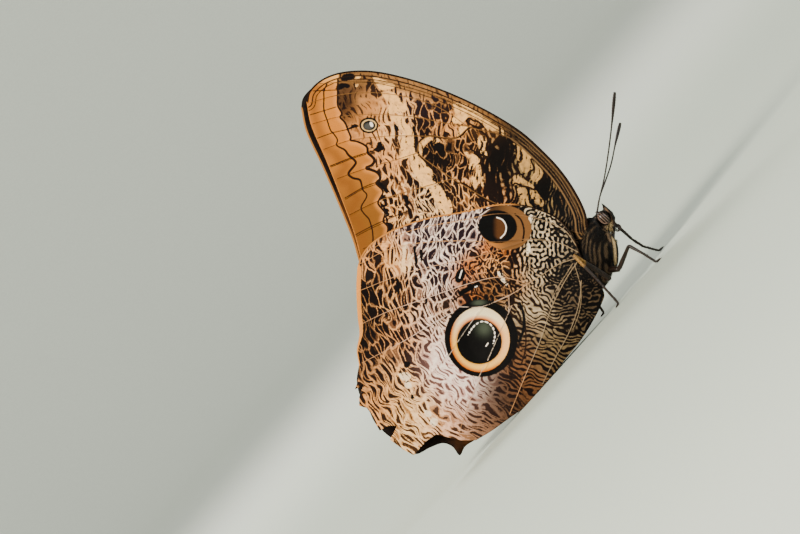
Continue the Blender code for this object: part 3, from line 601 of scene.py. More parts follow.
def blended_tones(points, tones):
    """Light, middle and dark tone of each place and the share that the ripples cover."""
    total = np.full(len(points), 1e-9)
    sums = np.zeros((len(points), 10))
    for across, down, reach, light, middle, dark, share in tones:
        gap = np.sqrt(((points - in_mm((across, down))) ** 2).sum(1)) / reach
        weight = np.exp(-0.8 * gap ** 1.5)
        total += weight
        paints = [value for name in (light, middle, dark) for value in pigment(PAINTS[name])]
        sums += weight[:, None] * np.array(paints + [share])
    sums /= total[:, None]
    return sums[:, 0:3], sums[:, 3:6], sums[:, 6:9], sums[:, 9]


# %% [markdown]
# ## Markings of the forewing
#
# From the tip inwards: a smooth orange tan band between two dark wavy lines, two black spots and a
# small eyespot at the tip, then ripples with cream patches, and near the front edge a bright tan
# field with black edged marks. Fine dark veins and folds cross the band.

# %% Tracings of the forewing
BAND_OUTER = (
    "327,84 324,91 324,98 324,110 327.5,121 331,131 333,133 337.6,140 336.6,145 345,150 348.5,155 "
    "351,157 356,162.5 354,166 348.5,174 353,178 360,180 363,190 367,195 361,208 364,213.5 369,219 "
    "371,225 372,228 373,236 373,243")
BAND_INNER = (
    "338,80 337.7,96 338,106 342,114 340,117 345,122.5 348,130 351,138 350,140 357,141.5 367,147 "
    "368,153 371,155.5 374.6,160 372,165 366,168 372,170 378,173 380.4,178.5 376.5,183 383,191 "
    "381,197 378,203 385,213 383.5,221 388,227 387,236")
BAND_FOLDS = [
    "313,91 337,90", "310,115 336,107", "317,138.4 333,132.7 349,129 359,126",
    "330,166 353,157 366,153 379,149", "345,198 362,188 376.5,182.3 388,180",
    "355,235 370,227 383,221 410,210"]
BAND_SECOND_FOLDS = ["331,167 353,158.4 366,154.4", "345.6,199.4 362,189.6 377,184",
                     "356,236.5 370,229 384,222.6"]
FOREWING_BLOTS = [
    "341,78 342,76 345,74 354,74 355,76 355,78 353,79 347,81 343,81 341,80",
    "335,89 337,86 339,84 343,83 349,84 350,85 349,88 344,88 340,90 337,90",
    "346,130 350,127 354,124 358,125 358,127 354,128 350,129",
    "373,150 376,147 378,142 382,142 383,146 385,148 383,150 378,152",
    "394,123 397,125 399,130 396,132 394,128",
    "376,182 381,182 385,187 389,191 386,193 383,190 380,187",
    "381,195 386,195 381,200 379,199",
    "379,202 383,204 387,210 390,214 387,217 384,222 386,217 383,208",
    "384,222 388,222 393,224 393,228 390,232 388,230 388,226",
    "402,195 407,195 409,200 408,206 405,203",
    "412,124 415,128 418,138 418,151 416,153 414,145 414,137",
    "429,142 432,140 434,145 438,142 444,145 443,149 437,151 433,149",
]
FOREWING_FIELDS = [
    "365,78 371,79 375,85 377,88 381,94 379,98 374,92 369,86",
    "392,138 399,140 400,145 402,150 400,156 396,153 394,147",
    "387,180 391,176 396,178 400,183 402,190 399,187 396,181 390,178",
    "401,161 405,160 406,169 409,174 411,180 415,186 411,188 407,181 402,173",
    "400,215 407,210 413,209 412,214 415,219 417,224 412,221 409,214 404,215",
    "434,96 443,98 455,108 455,110 450,110 448,114 449,118 444,117 440,120 436,117 434,113 433,103",
    "414,117 423,117 434,120 434,124 432,130 426,135 420,133 416,127",
    "423,149 426,146 430,143 433,149 436,148 438,144 444,146 446,154 444,158 450,162 452,165 447,167 "
    "440,164 434,161 429,157 424,153",
    "469,131 474,128 478,130 478,137 477,145 474,146 471,140",
    "464,154 467,158 469,163 471,170 469,176 467,185 468,175 467,167",
    "429,166 434,166 440,173 441,179 437,184 434,182 433,175 432,170",
    "438,185 447,182 454,188 458,196 460,203 463,210 453,213 452,206 450,200 444,192",
    "487,174 486,184 486,193 492,200 495,202 500,203 496,193 494,182 498,173 500,161 496,154 495,148 "
    "498,141 493,143 492,161 492,170",
    "498,137 507,137 515,145 516,148 513,153 519,157 512,161 512,172 506,171 499,172 498,178 502,189 "
    "502,203 497,198 493,189 494,168 494,161 498,153",
    "535,186 540,180 542,174 548,172 551,180 550,188 547,198 543,203 539,199 536,193",
    "556,190 560,191 563,199 564,205 562,214 558,210 555,199",
    "528,189 531,196 535,202 539,205 543,208 542,210 535,208 530,203 527,196",
    "494,121 500,124 507,133 515,142 520,150 528,158 522,160 512,148 502,136 495,128",
]
FOREWING_LINES = [
    "414,114 415,124 415,138 418,153 424,160 432,165",
    "419,142 423,138 427,136 433,136 444,138 455,138 462,135 469,128 478,128 481,131 486,135 488,142 "
    "486,149 490,153 488,157 482,158 474,153",
    "466,121 469,118 474,121 477,121 483,126 484,127 478,127 472,125 466,121",
    "418,153 424,160 430,167 437,172",
    "511,178 514,174 521,174 527,180 529,172 534,169 531,159 535,160 542,168 548,175",
    "513,186 515,183 522,186 528,187 535,190",
    "481,155 481,164 483,171 482,176",
    "470,149 478,153 488,157",
    "454,184 462,183 472,189 479,195 490,202 493,203",
]
FOREWING_PATCHES = [
    "354,78 356,76 361,76 361,77 358,79 356,80",
    "355,85 356,84 358,84 358,86 356,87",
    "372,76 384,80 395,85 394,88 386,90 381,90 377,85",
    "381,92 391,91 400,99 407,107 405,112 398,111 394,114 390,114 388,109 390,103 385,99",
    "391,116 402,115 404,121 410,127 415,136 407,136 402,130 397,123 392,120",
    "402,138 415,137 418,142 416,150 407,155 403,149 401,143",
    "401,144 412,144 415,153 401,159 399,154",
    "410,156 418,154 424,160 432,170 433,175 435,182 435,185 422,187 418,179 414,172 411,168",
    "429,189 440,186 444,192 450,200 452,206 452,214 446,216 440,210 436,202 432,195",
    "419,142 423,138 427,136 432,138 433,141 429,142 424,147 422,153 421,157 419,152",
    "434,141 437,138 440,140 438,143 435,143",
    "453,103 462,103 472,109 483,116 493,123 505,131 505,136 497,131 488,130 483,124 478,120 469,117 "
    "465,120 462,124 455,123 452,120 455,114 454,109",
    "458,131 461,126 468,127 467,131 462,135 457,137",
    "478,137 482,135 486,139 487,144 485,149 489,152 488,156 483,157 480,151 478,144",
    "464,152 468,152 469,155 472,154 478,155 480,161 476,165 472,170 469,168 470,163 468,158",
    "476,165 481,165 482,174 484,179 483,187 479,183 476,189 472,184 472,176 475,177 476,171",
    "512,178 516,175 522,178 528,182 534,186 533,189 526,186 521,183 514,185",
    "517,189 521,187 526,189 528,196 530,205 535,209 542,211 533,211 523,209 520,199",
    "530,191 535,190 540,196 544,203 542,207 537,202 532,198",
    "513,143 522,148 531,157 532,168 528,172 523,172 518,160",
    "535,163 540,168 543,174 540,179 535,182 531,178 535,172",
]

# %% [markdown]
# ## Markings of the hindwing
#
# Two eyespots share the hindwing. The large one is the owl's eye: a black socket, a ring that runs
# from cream to orange, a black heart with a grey green pupil, and an arc of white dots that reads
# as a glint. The smaller one lies by the front edge, with a brown pupil and a white crescent.
# Pale veins cross everything, even the rings.

# %% Tracings of the hindwing
HINDWING_LINES = [
    "480,214 490,208 503,206 516,209", "486,204 498,202 510,204", "470,250 478,256 484,262",
    "494,262 489,272 487,282", "500,288 508,282 516,280", "452,301 462,295 476,294 484,297",
    "521,306 524,318 525.5,332 525,350 521,364", "528,236 529,226 526,217", "497,247 506,249 514,246"]
HINDWING_BLOTS = [
    "413,247 415,245 416,252 418,262 416,266 414,258", "419,250 422,249 423,258 421,262",
    "404,361 410,362 410,366 405,368", "411,394 414,395 413,399 411,399", "425,296 427,297 427,304 425,305",
    "396,278 398,278 400,288 398,296 396,288"]
HINDWING_PATCHES = [
    "403,243 406,243 406,250 405,262 405,272 402,272 402,258", "409,253 411,254 411,269 409,268",
    "398,374 406,372 411,376 407,381 401,379", "404,383 410,382 412,387 406,388",
    "424,410 430,411 431,417 426,416", "432,417 438,420 435,426 430,423",
    "497,271 501,272 505,279 508,284 507,286 503,282 499,277",
    "528,219 531,214 533,216 530,226 529,236 527,232", "526,244 529,243 530,252 527,254"]
ORANGE_ROUND_SPOTS = [(460, 275, 2.0), (486, 247, 1.7), (470, 264, 1.8), (505, 250, 1.6), (470, 300, 1.7)]

LARGE_EYESPOT = (481, 338)

# Pale lines where veins cross the large eyespot
CROSSING_VEINS = [
    "458,306.5 482,306.5 509,295", "482,306.5 457.4,342", "512,305 487.5,360", "484.7,364.4 477.7,379",
    "453.2,349 448.2,356", "572.7,263 558.4,286 549,304", "574.5,265 580.7,290 579,311 572.7,329"]


# %% [markdown]
# ## From tracings to numbers on the mesh
#
# For each point of a wing the depth in every marking is worked out once. The eyespots fill their
# own numbers, and the tone of the large ring is worked out from the place round it.

# %% Markings at the points of a wing
def tone_rows(points, hex_colour):
    return np.tile(pigment(hex_colour), (len(points), 1))


def mixed(tone, *layers):
    """Rows of tones, or one colour, moved towards further colours by an amount for each row."""
    rows = np.array(pigment(tone)) if isinstance(tone, str) else tone
    for hex_colour, amount in layers:
        amount = np.clip(amount, 0, 1)[:, None]
        rows = rows * (1 - amount) + np.array(pigment(hex_colour)) * amount
    return rows


def vein_depths(points, veins, half_at_root, half_at_margin):
    """Depth inside the veins, which thin out from the root."""
    half = np.interp(np.hypot(points[:, 0], points[:, 1]), (0, 60), (half_at_root, half_at_margin))
    gaps = [distance_to_line(points, smooth_curve(line, 0.6), REACH) for line in veins.values()]
    return half - np.min(gaps, axis=0)


def strokes(points, texts, half_width):
    return deepest([stroke_depth(points, smooth_curve(traced(text), 0.4), half_width) for text in texts])


def blots(points, texts):
    return deepest([blot_depth(points, traced(text)) for text in texts])


def dress_forewing(points):
    """All depths and tones of a forewing at its points."""
    light, middle, dark, share = blended_tones(points, FOREWING_TONES)
    front = distance_to_line(points, smooth_curve(FOREWING_COSTA, 0.5), 6.0)
    near_root = smooth_step((points[:, 0] + 28) / 14)
    clear = smooth_step((4.2 - front) / 1.6) * (1 - 0.6 * near_root)
    striped = smooth_step((3.6 - front) / 0.8) * near_root
    field = smooth_step(blots(points, FOREWING_FIELDS) / 0.5 + 0.5)
    share = share * (1 - 0.9 * clear) + (0.80 - share) * field
    values = {"dark tone": dark}
    values["light tone"] = mixed(light, ("#9A744A", clear * 0.85), ("#3A2A1A", striped),
                                 ("#A87C50", field * 0.4))
    values["middle tone"] = mixed(middle, ("#7C5A34", clear * 0.85), ("#2C1E12", striped),
                                  ("#3A2416", field * 0.7))
    values["ripple"] = (share - forewing_ripples(points)) * 0.65
    values["flow"] = island_flow(forewing_course(points, 1.4), 2.6, share)
    values["knit"] = 1 - 0.75 * smooth_step((points[:, 0] + 26) / 6)

    # The border band, its two wavy lines, and the stripes along the front edge
    outer = smooth_curve(traced(BAND_OUTER), 0.4)
    inner = smooth_curve(traced(BAND_INNER), 0.4)
    rim = traced("300,60 338,70")
    hidden = traced("395,262 362,262 300,200")
    values["band"] = blot_depth(points, np.vstack([rim, inner[::6], hidden]))
    along_front = smooth_step((points[:, 0] + 62) / 14)
    stripes = deepest([0.42 - front, 0.14 - abs(front - 1.25), 0.11 - abs(front - 2.0),
                       (0.10 - abs(front - 2.7)) - 0.2 * (1 - along_front)])
    wavy = deepest([0.16 - distance_to_line(points, outer, 2.0),
                    0.22 - distance_to_line(points, inner, 2.0)])
    wavy += 0.11 * smooth_step((points[:, 1] - 9) / 4) * smooth_step((21 - points[:, 1]) / 4)
    lines = [strokes(points, texts, half_width) for texts, half_width in
             ((FOREWING_LINES, 0.20), (BAND_FOLDS, 0.11), (BAND_SECOND_FOLDS, 0.09))]
    values["line"] = deepest([stripes, wavy, *lines])
    values["blot"] = blots(points, FOREWING_BLOTS)
    values["patch"] = blots(points, FOREWING_PATCHES)

    cords = deepest([half_width - abs(front - place) for half_width, place in
                     ((0.14, 0.72), (0.06, 1.45), (0.08, 2.0), (0.18, 2.75))]) - 0.4 * (1 - near_root)
    values["vein"] = deepest([vein_depths(points, FOREWING_VEINS, 0.13, 0.06), cords])
    values["vein tone"] = mixed(
        "#8E6A40", ("#54301A", smooth_step(values["band"] * 2 + 0.5)), ("#4A3620", near_root),
        ("#7A5830", smooth_step((3.4 - front) / 1.0) * (1 - near_root)),
        ("#84694A", smooth_step(cords * 8 + 1) * near_root))
    outside = distance_to_line(points, traced(BAND_OUTER) + np.array([-2.3, -0.8]), 2.2)
    inner_side = distance_to_line(points, inner, 1.6)
    values["band tone"] = mixed(
        "#CB9048", ("#97682F", smooth_step((points[:, 1] - 26) / -24)),
        ("#94602A", smooth_step(1 - outside / 2.2) * 0.65),
        ("#E2AA6C", smooth_step(1 - inner_side / 1.5) * 0.7),
        ("#EBC084", smooth_step((points[:, 1] - 33) / 3)))
    values["patch tone"] = mixed("#F8CE98", ("#C8A674", near_root))

    # The small eyespot at the tip
    values["socket"] = oval_depth(points, (368.9, 125.3), (9.6, 8.0))
    values["iris"] = oval_depth(points, (369, 125.4), (7.6, 6.0))
    values["iris tone"] = tone_rows(points, "#D9BE92")
    values["heart"] = oval_depth(points, (369.2, 125.5), (6.3, 4.9))
    values["pupil"] = oval_depth(points, (368.4, 126.3), (4.4, 3.4))
    values["pupil tone"] = tone_rows(points, "#5E5C58")
    values["glint"] = oval_depth(points, (371.5, 124.4), (1.6, 2.8), 20)
    values["margin"] = 0.14 - distance_to_line(points, smooth_curve(FOREWING_OUTER, 0.5), 1.4)
    values["margin tone"] = tone_rows(points, "#C08A4C")
    return values


def dress_hindwing(points):
    """All depths and tones of a hindwing at its points."""
    light, middle, dark, share = blended_tones(points, HINDWING_TONES)
    for across, down, reach in ORANGE_ROUND_SPOTS:
        near = soft_spot(points, (across, down), reach)
        light = mixed(light, ("#C8823C", near * 0.8))
        middle = mixed(middle, ("#9A5A24", near * 0.8))
    values = {"light tone": light, "middle tone": middle, "dark tone": dark, "band tone": light}
    values["ripple"] = (share - hindwing_ripples(points)) * 0.58
    values["flow"] = island_flow(hindwing_course(points, 1.4), 2.0, share)
    values["knit"] = smooth_step((-14.5 - points[:, 0]) / 4)
    values["band"] = np.full(len(points), -REACH)
    values["line"] = strokes(points, HINDWING_LINES, 0.17)
    values["blot"] = blots(points, HINDWING_BLOTS)
    values["patch"] = blots(points, HINDWING_PATCHES)
    values["patch tone"] = mixed("#F4E8D6", ("#F2CE9C", soft_spot(points, (400, 300), 10)))

    # Veins, which stop at the large eyespot, where their own pale lines cross it
    veins = vein_depths(points, HINDWING_VEINS, 0.10, 0.045)
    crossing = strokes(points, CROSSING_VEINS, 0.085)
    seam = 0.20 - abs(distance_to_line(points, smooth_curve(HINDWING_COSTA, 0.5), 3.0) - 0.12)
    covered = oval_depth(points, LARGE_EYESPOT, (36.5, 39)) > -0.05
    values["vein"] = deepest([np.where(covered, np.minimum(veins, -0.3), veins), crossing, seam])
    along_seam = smooth_step(seam * 8 + 1)
    values["vein tone"] = mixed(
        "#C0966A", ("#E2D0C8", soft_spot(points, (446, 330), 9)),
        ("#9C8A72", smooth_step((points[:, 0] + 16) / 5)), ("#B9AFA2", soft_spot(points, (482, 336), 7)),
        ("#6E5034", 1.3 * soft_spot(points, (503, 229), 4.4)), ("#C08E54", along_seam),
        ("#2A1C10", smooth_step((points[:, 0] + 18) / 3) * along_seam))

    # The two eyespots: socket, ring, heart, pupil and glint
    values["socket"] = deepest([oval_depth(points, LARGE_EYESPOT, (36.5, 38.8)),
                                strokes(points, ["519.5,303 523,312 524,322 522.5,332 519,341"], 0.34)])
    large = oval_depth(points, (479.8, 339.4), (29.7, 32.5))
    heart = oval_depth(points, (479.3, 341.6), (22.4, 22.2))
    upper = smooth_step((points[:, 1] + 26) / 7)
    lower_left = smooth_step((-points[:, 0] - points[:, 1] - 46) / 8)
    ring_tone = mixed(
        "#FFD98A", ("#FFF6DC", upper), ("#F9D3A4", soft_spot(points, (509, 345), 3.4)),
        ("#E0892A", smooth_step(1 + heart / 1.7) * (0.35 + 0.6 * upper)),
        ("#6E3208", smooth_step(1 + heart / 0.45) * (0.3 + 0.6 * upper)),
        ("#C9741B", smooth_step(1 - large / 1.1) * (0.15 + 0.8 * lower_left)))
    small_ring = oval_depth(points, (505.5, 227.5), (26, 22), -10)
    small_tone = mixed(
        "#8C6640", ("#553A20", soft_spot(points, (492, 207), 2.2)),
        ("#D69A78", soft_spot(points, (477, 231), 1.8)), ("#C08A50", soft_spot(points, (488, 246), 2.0)))
    near_small = (small_ring > -0.4)[:, None]
    values["iris tone"] = np.where(near_small, small_tone, ring_tone)
    values["iris"] = deepest([large, small_ring])
    small_heart = oval_depth(points, (497.6, 226.6), (19.4, 16.4), -6)
    small_crescent = strokes(points, ["515,214 521,220 524,231 522.5,241"], 0.2)
    slanted = oval_depth(points, (460.2, 275.4), (4.6, 8.0), -24)
    dashed = strokes(points, ["461,293 469,288.5 478,283.8"], 0.55)
    values["heart"] = deepest([heart, small_heart, small_crescent, slanted, dashed])
    values["pupil"] = deepest([oval_depth(points, middle, halves, tilt) for middle, halves, tilt in
                               (((481.5, 339), (14.0, 20.0), 16), ((479, 302.6), (8.0, 2.6), 4),
                                ((498.4, 228), (7.6, 10.8), 10))])
    shine = 1.1 * soft_spot(points, (484, 328), 1.15) + soft_spot(points, (479, 302.6), 1.2)
    green = mixed("#171210", ("#585E50", shine))
    brown = mixed("#6A4526", ("#140B06", smooth_step((-points[:, 0] - 20.4) / 1.6)))
    values["pupil tone"] = np.where(near_small, brown, green)
    dots = strokes(points, ["468,334.5 471.5,329 475,325 481,321.5 485,321.5 490,324 493,328 494.7,333 "
                            "494.5,338 493,343"], 0.17)
    round_pupil = np.arctan2(points[:, 1] + 24.6, points[:, 0] + 24.6)
    dots = dots - 0.16 * (np.sin(round_pupil * 24) > 0.5)
    marks = strokes(points, ["496.7,217.3 502.5,219.8 506,226 505,233 500.4,238",
                             "462,270 460.6,274 459.5,278", "475,287 477,286", "488,343 486,346"], 0.14)
    values["glint"] = deepest([dots, marks])
    broad = smooth_step((points[:, 1] + 28) / 8) * smooth_step((-2 - points[:, 1]) / 8)
    edge = distance_to_line(points, smooth_curve(HINDWING_OUTER, 0.5), 1.4)
    values["margin"] = 0.2 + 0.75 * broad - edge
    values["margin tone"] = tone_rows(points, "#DCA45E")
    return values


# %% [markdown]
# ## The wing as a mesh
#
# A real wing is two thin skins on a frame of veins. Each wing here is one closed sheet 0.14 mm
# thick. Its underside is a fine net of triangles, 0.2 mm apart, that carries the markings as
# numbers on its points. The upper side, turned inwards and hardly seen, is coarser. Both share the
# outline and are sewn together along it. By hand one would draw the outline as a filled curve,
# convert and remesh it, and give it a Solidify modifier. Here the net is made from the drawing, so
# that its points follow the veins.

# %% Nets of points
FINE_STEP = 0.205
COARSE_STEP = 0.9


def net_of_triangles(outline, lines, step):
    """Points, with those of the outline first, and triangles with edges along the lines."""
    low = outline.min(0)
    high = outline.max(0)
    rows = np.arange(low[1], high[1], step * 0.866)
    columns = np.arange(low[0], high[0], step)
    x, z = np.meshgrid(columns, rows)
    x = x + step * 0.5 * (np.arange(len(rows)) % 2)[:, None]
    grid = np.column_stack([x.ravel(), z.ravel()])
    grid = grid[inside(grid, outline)]
    closed_line = np.vstack([outline, outline[:1]])
    grid = grid[distance_to_line(grid, closed_line, step) > step * 0.55]
    points = [outline]
    edges = []
    count = len(outline)
    for line in lines:
        kept = inside(line, outline) & (distance_to_line(line, closed_line, step) > step * 0.6)
        line = line[kept]
        if len(line) < 2:
            continue
        grid = grid[distance_to_line(grid, line, step) > step * 0.5]
        points.append(line)
        gaps = np.linalg.norm(np.diff(line, axis=0), axis=1)
        edges += [(count + k, count + k + 1) for k in range(len(line) - 1) if gaps[k] < 3 * step]
        count += len(line)
    points = np.vstack(points + [grid])
    ring = list(range(len(outline)))
    result = delaunay_2d_cdt([Vector(point) for point in points], edges, [ring], 1, 1e-6)
    places = np.array([(point.x, point.y) for point in result[0]])
    sources = np.array([found[0] if found else -1 for found in result[3]])
    on_outline = (sources >= 0) & (sources < len(outline))
    order = np.argsort(np.where(on_outline, sources, len(sources)), kind="stable")
    rank = np.empty(len(order), int)
    rank[order] = np.arange(len(order))
    return places[order], rank[np.array(result[2])]


def ridge(points, veins):
    """Height of the veins above the membrane, in mm."""
    height = np.interp(np.hypot(points[:, 0], points[:, 1]), (0, 60), (0.24, 0.12))
    gaps = [distance_to_line(points, smooth_curve(line, 0.5), 0.8) for line in veins.values()]
    return height * smooth_step(1 - np.min(gaps, axis=0) / 0.36)


def pleats(points, veins):
    """The membrane sags a little between its veins, as a kite does between its sticks."""
    gaps = [distance_to_line(points, smooth_curve(line, 1.0), 3.0) for line in veins.values()]
    return -0.12 * smooth_step(np.min(gaps, axis=0) / 3.0)


print("nets: undersides every", FINE_STEP, "mm, upper sides every", COARSE_STEP, "mm")

# %% [markdown]
# ## How one wing is made
#
# The function below makes one closed wing. It turns the drawing onto the floor, writes the
# markings onto the points, and lays the faces out flat for a picture to be painted on them later.

# %% Wing builder
NUMBERS = ("ripple band margin", "patch blot line", "socket iris heart", "pupil glint vein",
           "knit none none")
TONES = ("light", "middle", "dark", "band", "patch", "vein", "iris", "pupil", "margin")


def plain_mesh(name, points, faces):
    """A mesh of triangles, made quickly from arrays."""
    mesh = bpy.data.meshes.new(name)
    mesh.vertices.add(len(points))
    mesh.vertices.foreach_set("co", np.asarray(points, float).ravel())
    mesh.loops.add(len(faces) * 3)
    mesh.loops.foreach_set("vertex_index", np.asarray(faces).ravel())
    mesh.polygons.add(len(faces))
    mesh.polygons.foreach_set("loop_start", np.arange(len(faces)) * 3)
    mesh.update(calc_edges=True)
    mesh.validate()
    obj = bpy.data.objects.new(name, mesh)
    bpy.context.scene.collection.objects.link(obj)
    return obj


def write_numbers(obj, name, values):
    """Three numbers or one tone for each point of a mesh, stored under a name."""
    if name.endswith("tone"):
        layer = obj.data.attributes.new(name, "FLOAT_COLOR", "POINT")
        layer.data.foreach_set("color", np.column_stack([values, np.ones(len(values))]).ravel())
    else:
        layer = obj.data.attributes.new(name, "FLOAT_VECTOR", "POINT")
        layer.data.foreach_set("vector", np.ravel(values))


def wing_uv(obj, places, outline_count, under_count, under_faces, upper_faces):
    """Lays the underside out large, the upper side small beside it, and the rim round the first."""
    low = places.min(0)
    size = places.max(0) - low
    scale = 0.74 / max(size[0] * 0.74 / 0.98, size[1])
    under = 0.01 + (places - low) * scale
    corner = (0.79, 0.01) if size[1] > size[0] * 0.9 else (0.01, 0.78)
    upper = np.array(corner) + (places - low) * (0.2 / max(size))
    points = np.zeros(len(obj.data.loops), int)
    obj.data.loops.foreach_get("vertex_index", points)
    faces = np.arange(len(points)) // 3
    on_upper = faces >= len(obj.data.polygons) - upper_faces
    on_rim = (faces >= under_faces) & ~on_upper
    inner = points >= under_count
    rim_place = under[np.where(inner, points - under_count, points)]
    away = rim_place - under[:outline_count].mean(0)
    away /= np.maximum(np.linalg.norm(away, axis=1), 1e-9)[:, None]
    chosen = np.where(on_upper[:, None], upper[points], under[points])
    chosen[on_rim] = (rim_place + np.where(inner[:, None], away * 0.004, 0))[on_rim]
    obj.data.uv_layers.new(name="OFBake").data.foreach_set("uv", chosen.ravel())


def bend_to_forewing(points):
    """How far the front edge of a hindwing dips towards the forewing that it lies on, in mm."""
    gap = distance_to_line(points, smooth_curve(HINDWING_COSTA, 0.5), 5.0)
    along = smooth_step((-points[:, 0] - 3) / 6)
    return 0.82 * smooth_step(1 - gap / 4.5) * along


def outer_side(points, veins, face_at, bent):
    """How far the outer side of a wing stands from the animal's middle, without its ridges."""
    dip = bend_to_forewing(points) if bent else 0.0
    return face_at + SOLID_THICKNESS + flare(points) + pleats(points, veins) - dip


def wound(places, faces, left_round):
    """The faces, all turned over where they don't run round as asked for."""
    a, b, c = places[faces[0]]
    runs_left = (b - a)[0] * (c - a)[1] - (b - a)[1] * (c - a)[0] > 0
    return faces if runs_left == left_round else faces[:, ::-1]


def make_wing(name, outline, veins, face_at, side, values_of, turn, growth, bent):
    """One closed wing. The side is 1 for the left and -1 for the right."""
    lines = [smooth_curve(line, FINE_STEP) for line in veins.values()]
    under, under_faces = net_of_triangles(outline, lines, FINE_STEP)
    upper, upper_faces = net_of_triangles(outline, [], COARSE_STEP)
    count = len(outline)
    outer = outer_side(under, veins, face_at, bent) + ridge(under, veins)
    inner = outer_side(upper, veins, face_at, bent) - MEMBRANE
    places = np.vstack([under, upper])
    across = np.concatenate([outer, inner]) * side
    cosine = math.cos(turn) * growth
    sine = math.sin(turn) * growth
    turned = np.column_stack([places[:, 0] * cosine - places[:, 1] * sine, across,
                              places[:, 0] * sine + places[:, 1] * cosine])
    ring = np.arange(count)
    following = (ring + 1) % count
    upper_ring = ring + len(under)
    rim = np.vstack([np.column_stack([ring, following, upper_ring]),
                     np.column_stack([following, following + len(under), upper_ring])])
    under_out = wound(under, under_faces, side < 0)
    upper_out = wound(upper, upper_faces, side > 0)
    area = outline[:, 0] @ np.roll(outline[:, 1], -1) - outline[:, 1] @ np.roll(outline[:, 0], -1)
    rim_out = rim if (area > 0) != (side < 0) else rim[:, ::-1]
    faces = np.vstack([under_out, rim_out, upper_out + len(under)])
    obj = plain_mesh(name, on_floor(turned), faces)
    wing_uv(obj, places, count, len(under), len(under_out), len(upper_out))
    full = {key: np.concatenate([value, np.zeros((len(upper), *value.shape[1:]))])
            for key, value in values_of(under).items()}
    write_numbers(obj, "place", np.column_stack([places, np.zeros(len(places))]))
    outer_edge = smooth_curve(HINDWING_OUTER if bent else FOREWING_OUTER, 0.5)
    full["margin"][len(under):] = 0.42 - distance_to_line(upper, outer_edge, 1.4)
    full["none"] = np.zeros(len(places))
    for group in NUMBERS:
        write_numbers(obj, group, np.column_stack([full[depth] for depth in group.split()]))
    write_numbers(obj, "flow", full["flow"])
    for tone in TONES:
        write_numbers(obj, tone + " tone", full[tone + " tone"])
    slots = np.zeros(len(faces), int)
    slots[len(under_out) + len(rim_out):] = 1
    costa = smooth_curve(HINDWING_COSTA if bent else FOREWING_COSTA, 0.5)
    front_edge = distance_to_line(outline, costa, 1.0) < 0.35
    slots[len(under_out):len(under_out) + len(rim_out)] = np.tile(np.where(front_edge, 1, 2), 2)
    obj.data.polygons.foreach_set("material_index", slots)
    obj.data.polygons.foreach_set("use_smooth", np.ones(len(faces), bool))
    print(name, len(faces), "triangles")
    return obj


# %% [markdown]
# ## Materials
#
# A butterfly's wing is a roof of tiny scales, each one colour. Seen closely, the edge of a marking
# is therefore not a clean line but a row of scales, and the surface is dull and slightly grainy.
# One small function adds a node with its settings and links, one fills in a shader's own sockets,
# and one makes a colour a little uneven. The layers of the underside are then painted in order,
# from the ground up to the glints.

# %% Helpers for nodes
def fill(tree, node, inputs):
    """Sets inputs of a node to values, or links them to sockets of other nodes."""
    for key, value in inputs.items():
        if isinstance(value, bpy.types.NodeSocket):
            tree.links.new(value, node.inputs[key])
        else:
            node.inputs[key].default_value = value


def add(tree, kind, inputs=None, stops=(), **settings):
    """A node with its settings, its inputs and, for a ramp, its stops."""
    node = tree.nodes.new(kind)
    for name, value in settings.items():
        setattr(node, name, value)
    fill(tree, node, inputs or {})
    for index, (position, tone) in enumerate(stops):
        elements = node.color_ramp.elements
        stop = elements[index] if index < 2 else elements.new(position)
        stop.position = position
        stop.color = colour(tone)
    return node


def grained(tree, paint, place, size, detail, darkest, palest):
    """A colour made uneven by a noise, which is given back as well."""
    noise = add(tree, "ShaderNodeTexNoise", {"Vector": place, "Scale": size, "Detail": detail}).outputs[0]
    uneven = add(tree, "ShaderNodeMapRange", {0: noise, 1: 0.3, 2: 0.7, 3: darkest, 4: palest}).outputs[0]
    mix = add(tree, "ShaderNodeMix", {0: 1.0, 6: paint, 7: uneven}, data_type="RGBA", blend_type="MULTIPLY")
    return mix.outputs[2], noise


def blank_material(name):
    material = bpy.data.materials.new(name)
    material.use_nodes = True
    return material, material.node_tree, material.node_tree.nodes["Principled BSDF"]


def colour(hex_colour):
    return (*linear(hex_colour), 1.0)


# %% [markdown]
# ### Underside scales
#
# Most of the ground is a net of pale lines round dark islands, drawn out along the ripples. A
# Voronoi pattern gives both: the way to the nearest border is the depth inside an island, and the
# random colour of each cell decides whether that island is black or only brown. Near the body the
# net gives way to the labyrinth. Every further layer has a depth, a softness and a tone. A fine
# noise shakes the depths, so that edges break up into scales.

# %% Underside scales
# Each layer: its depth, where it is cut, its tone, how soft its edge is and how ragged
LAYERS = [
    ("ripple", -0.04, "middle", 0.06, 1.0), ("dark ripple", 0.02, "dark", 0.06, 1.0),
    ("band", 0.0, "band tone", 0.12, 1.0), ("patch", 0.0, "patch tone", 0.10, 2.2),
    ("blot", 0.0, "#1E1212", 0.10, 2.0), ("line", 0.0, "#351C0C", 0.05, 0.35),
    ("socket", 0.0, "#120A08", 0.12, 1.0), ("iris", 0.0, "iris tone", 0.10, 0.8),
    ("heart", 0.0, "#0E0806", 0.10, 0.8), ("pupil", 0.0, "pupil tone", 0.30, 1.0),
    ("glint", 0.0, "#F6EEE6", 0.06, 0.5), ("vein", 0.0, "vein tone", 0.05, 0.6),
    ("margin", 0.0, "margin tone", 0.07, 0.9)]


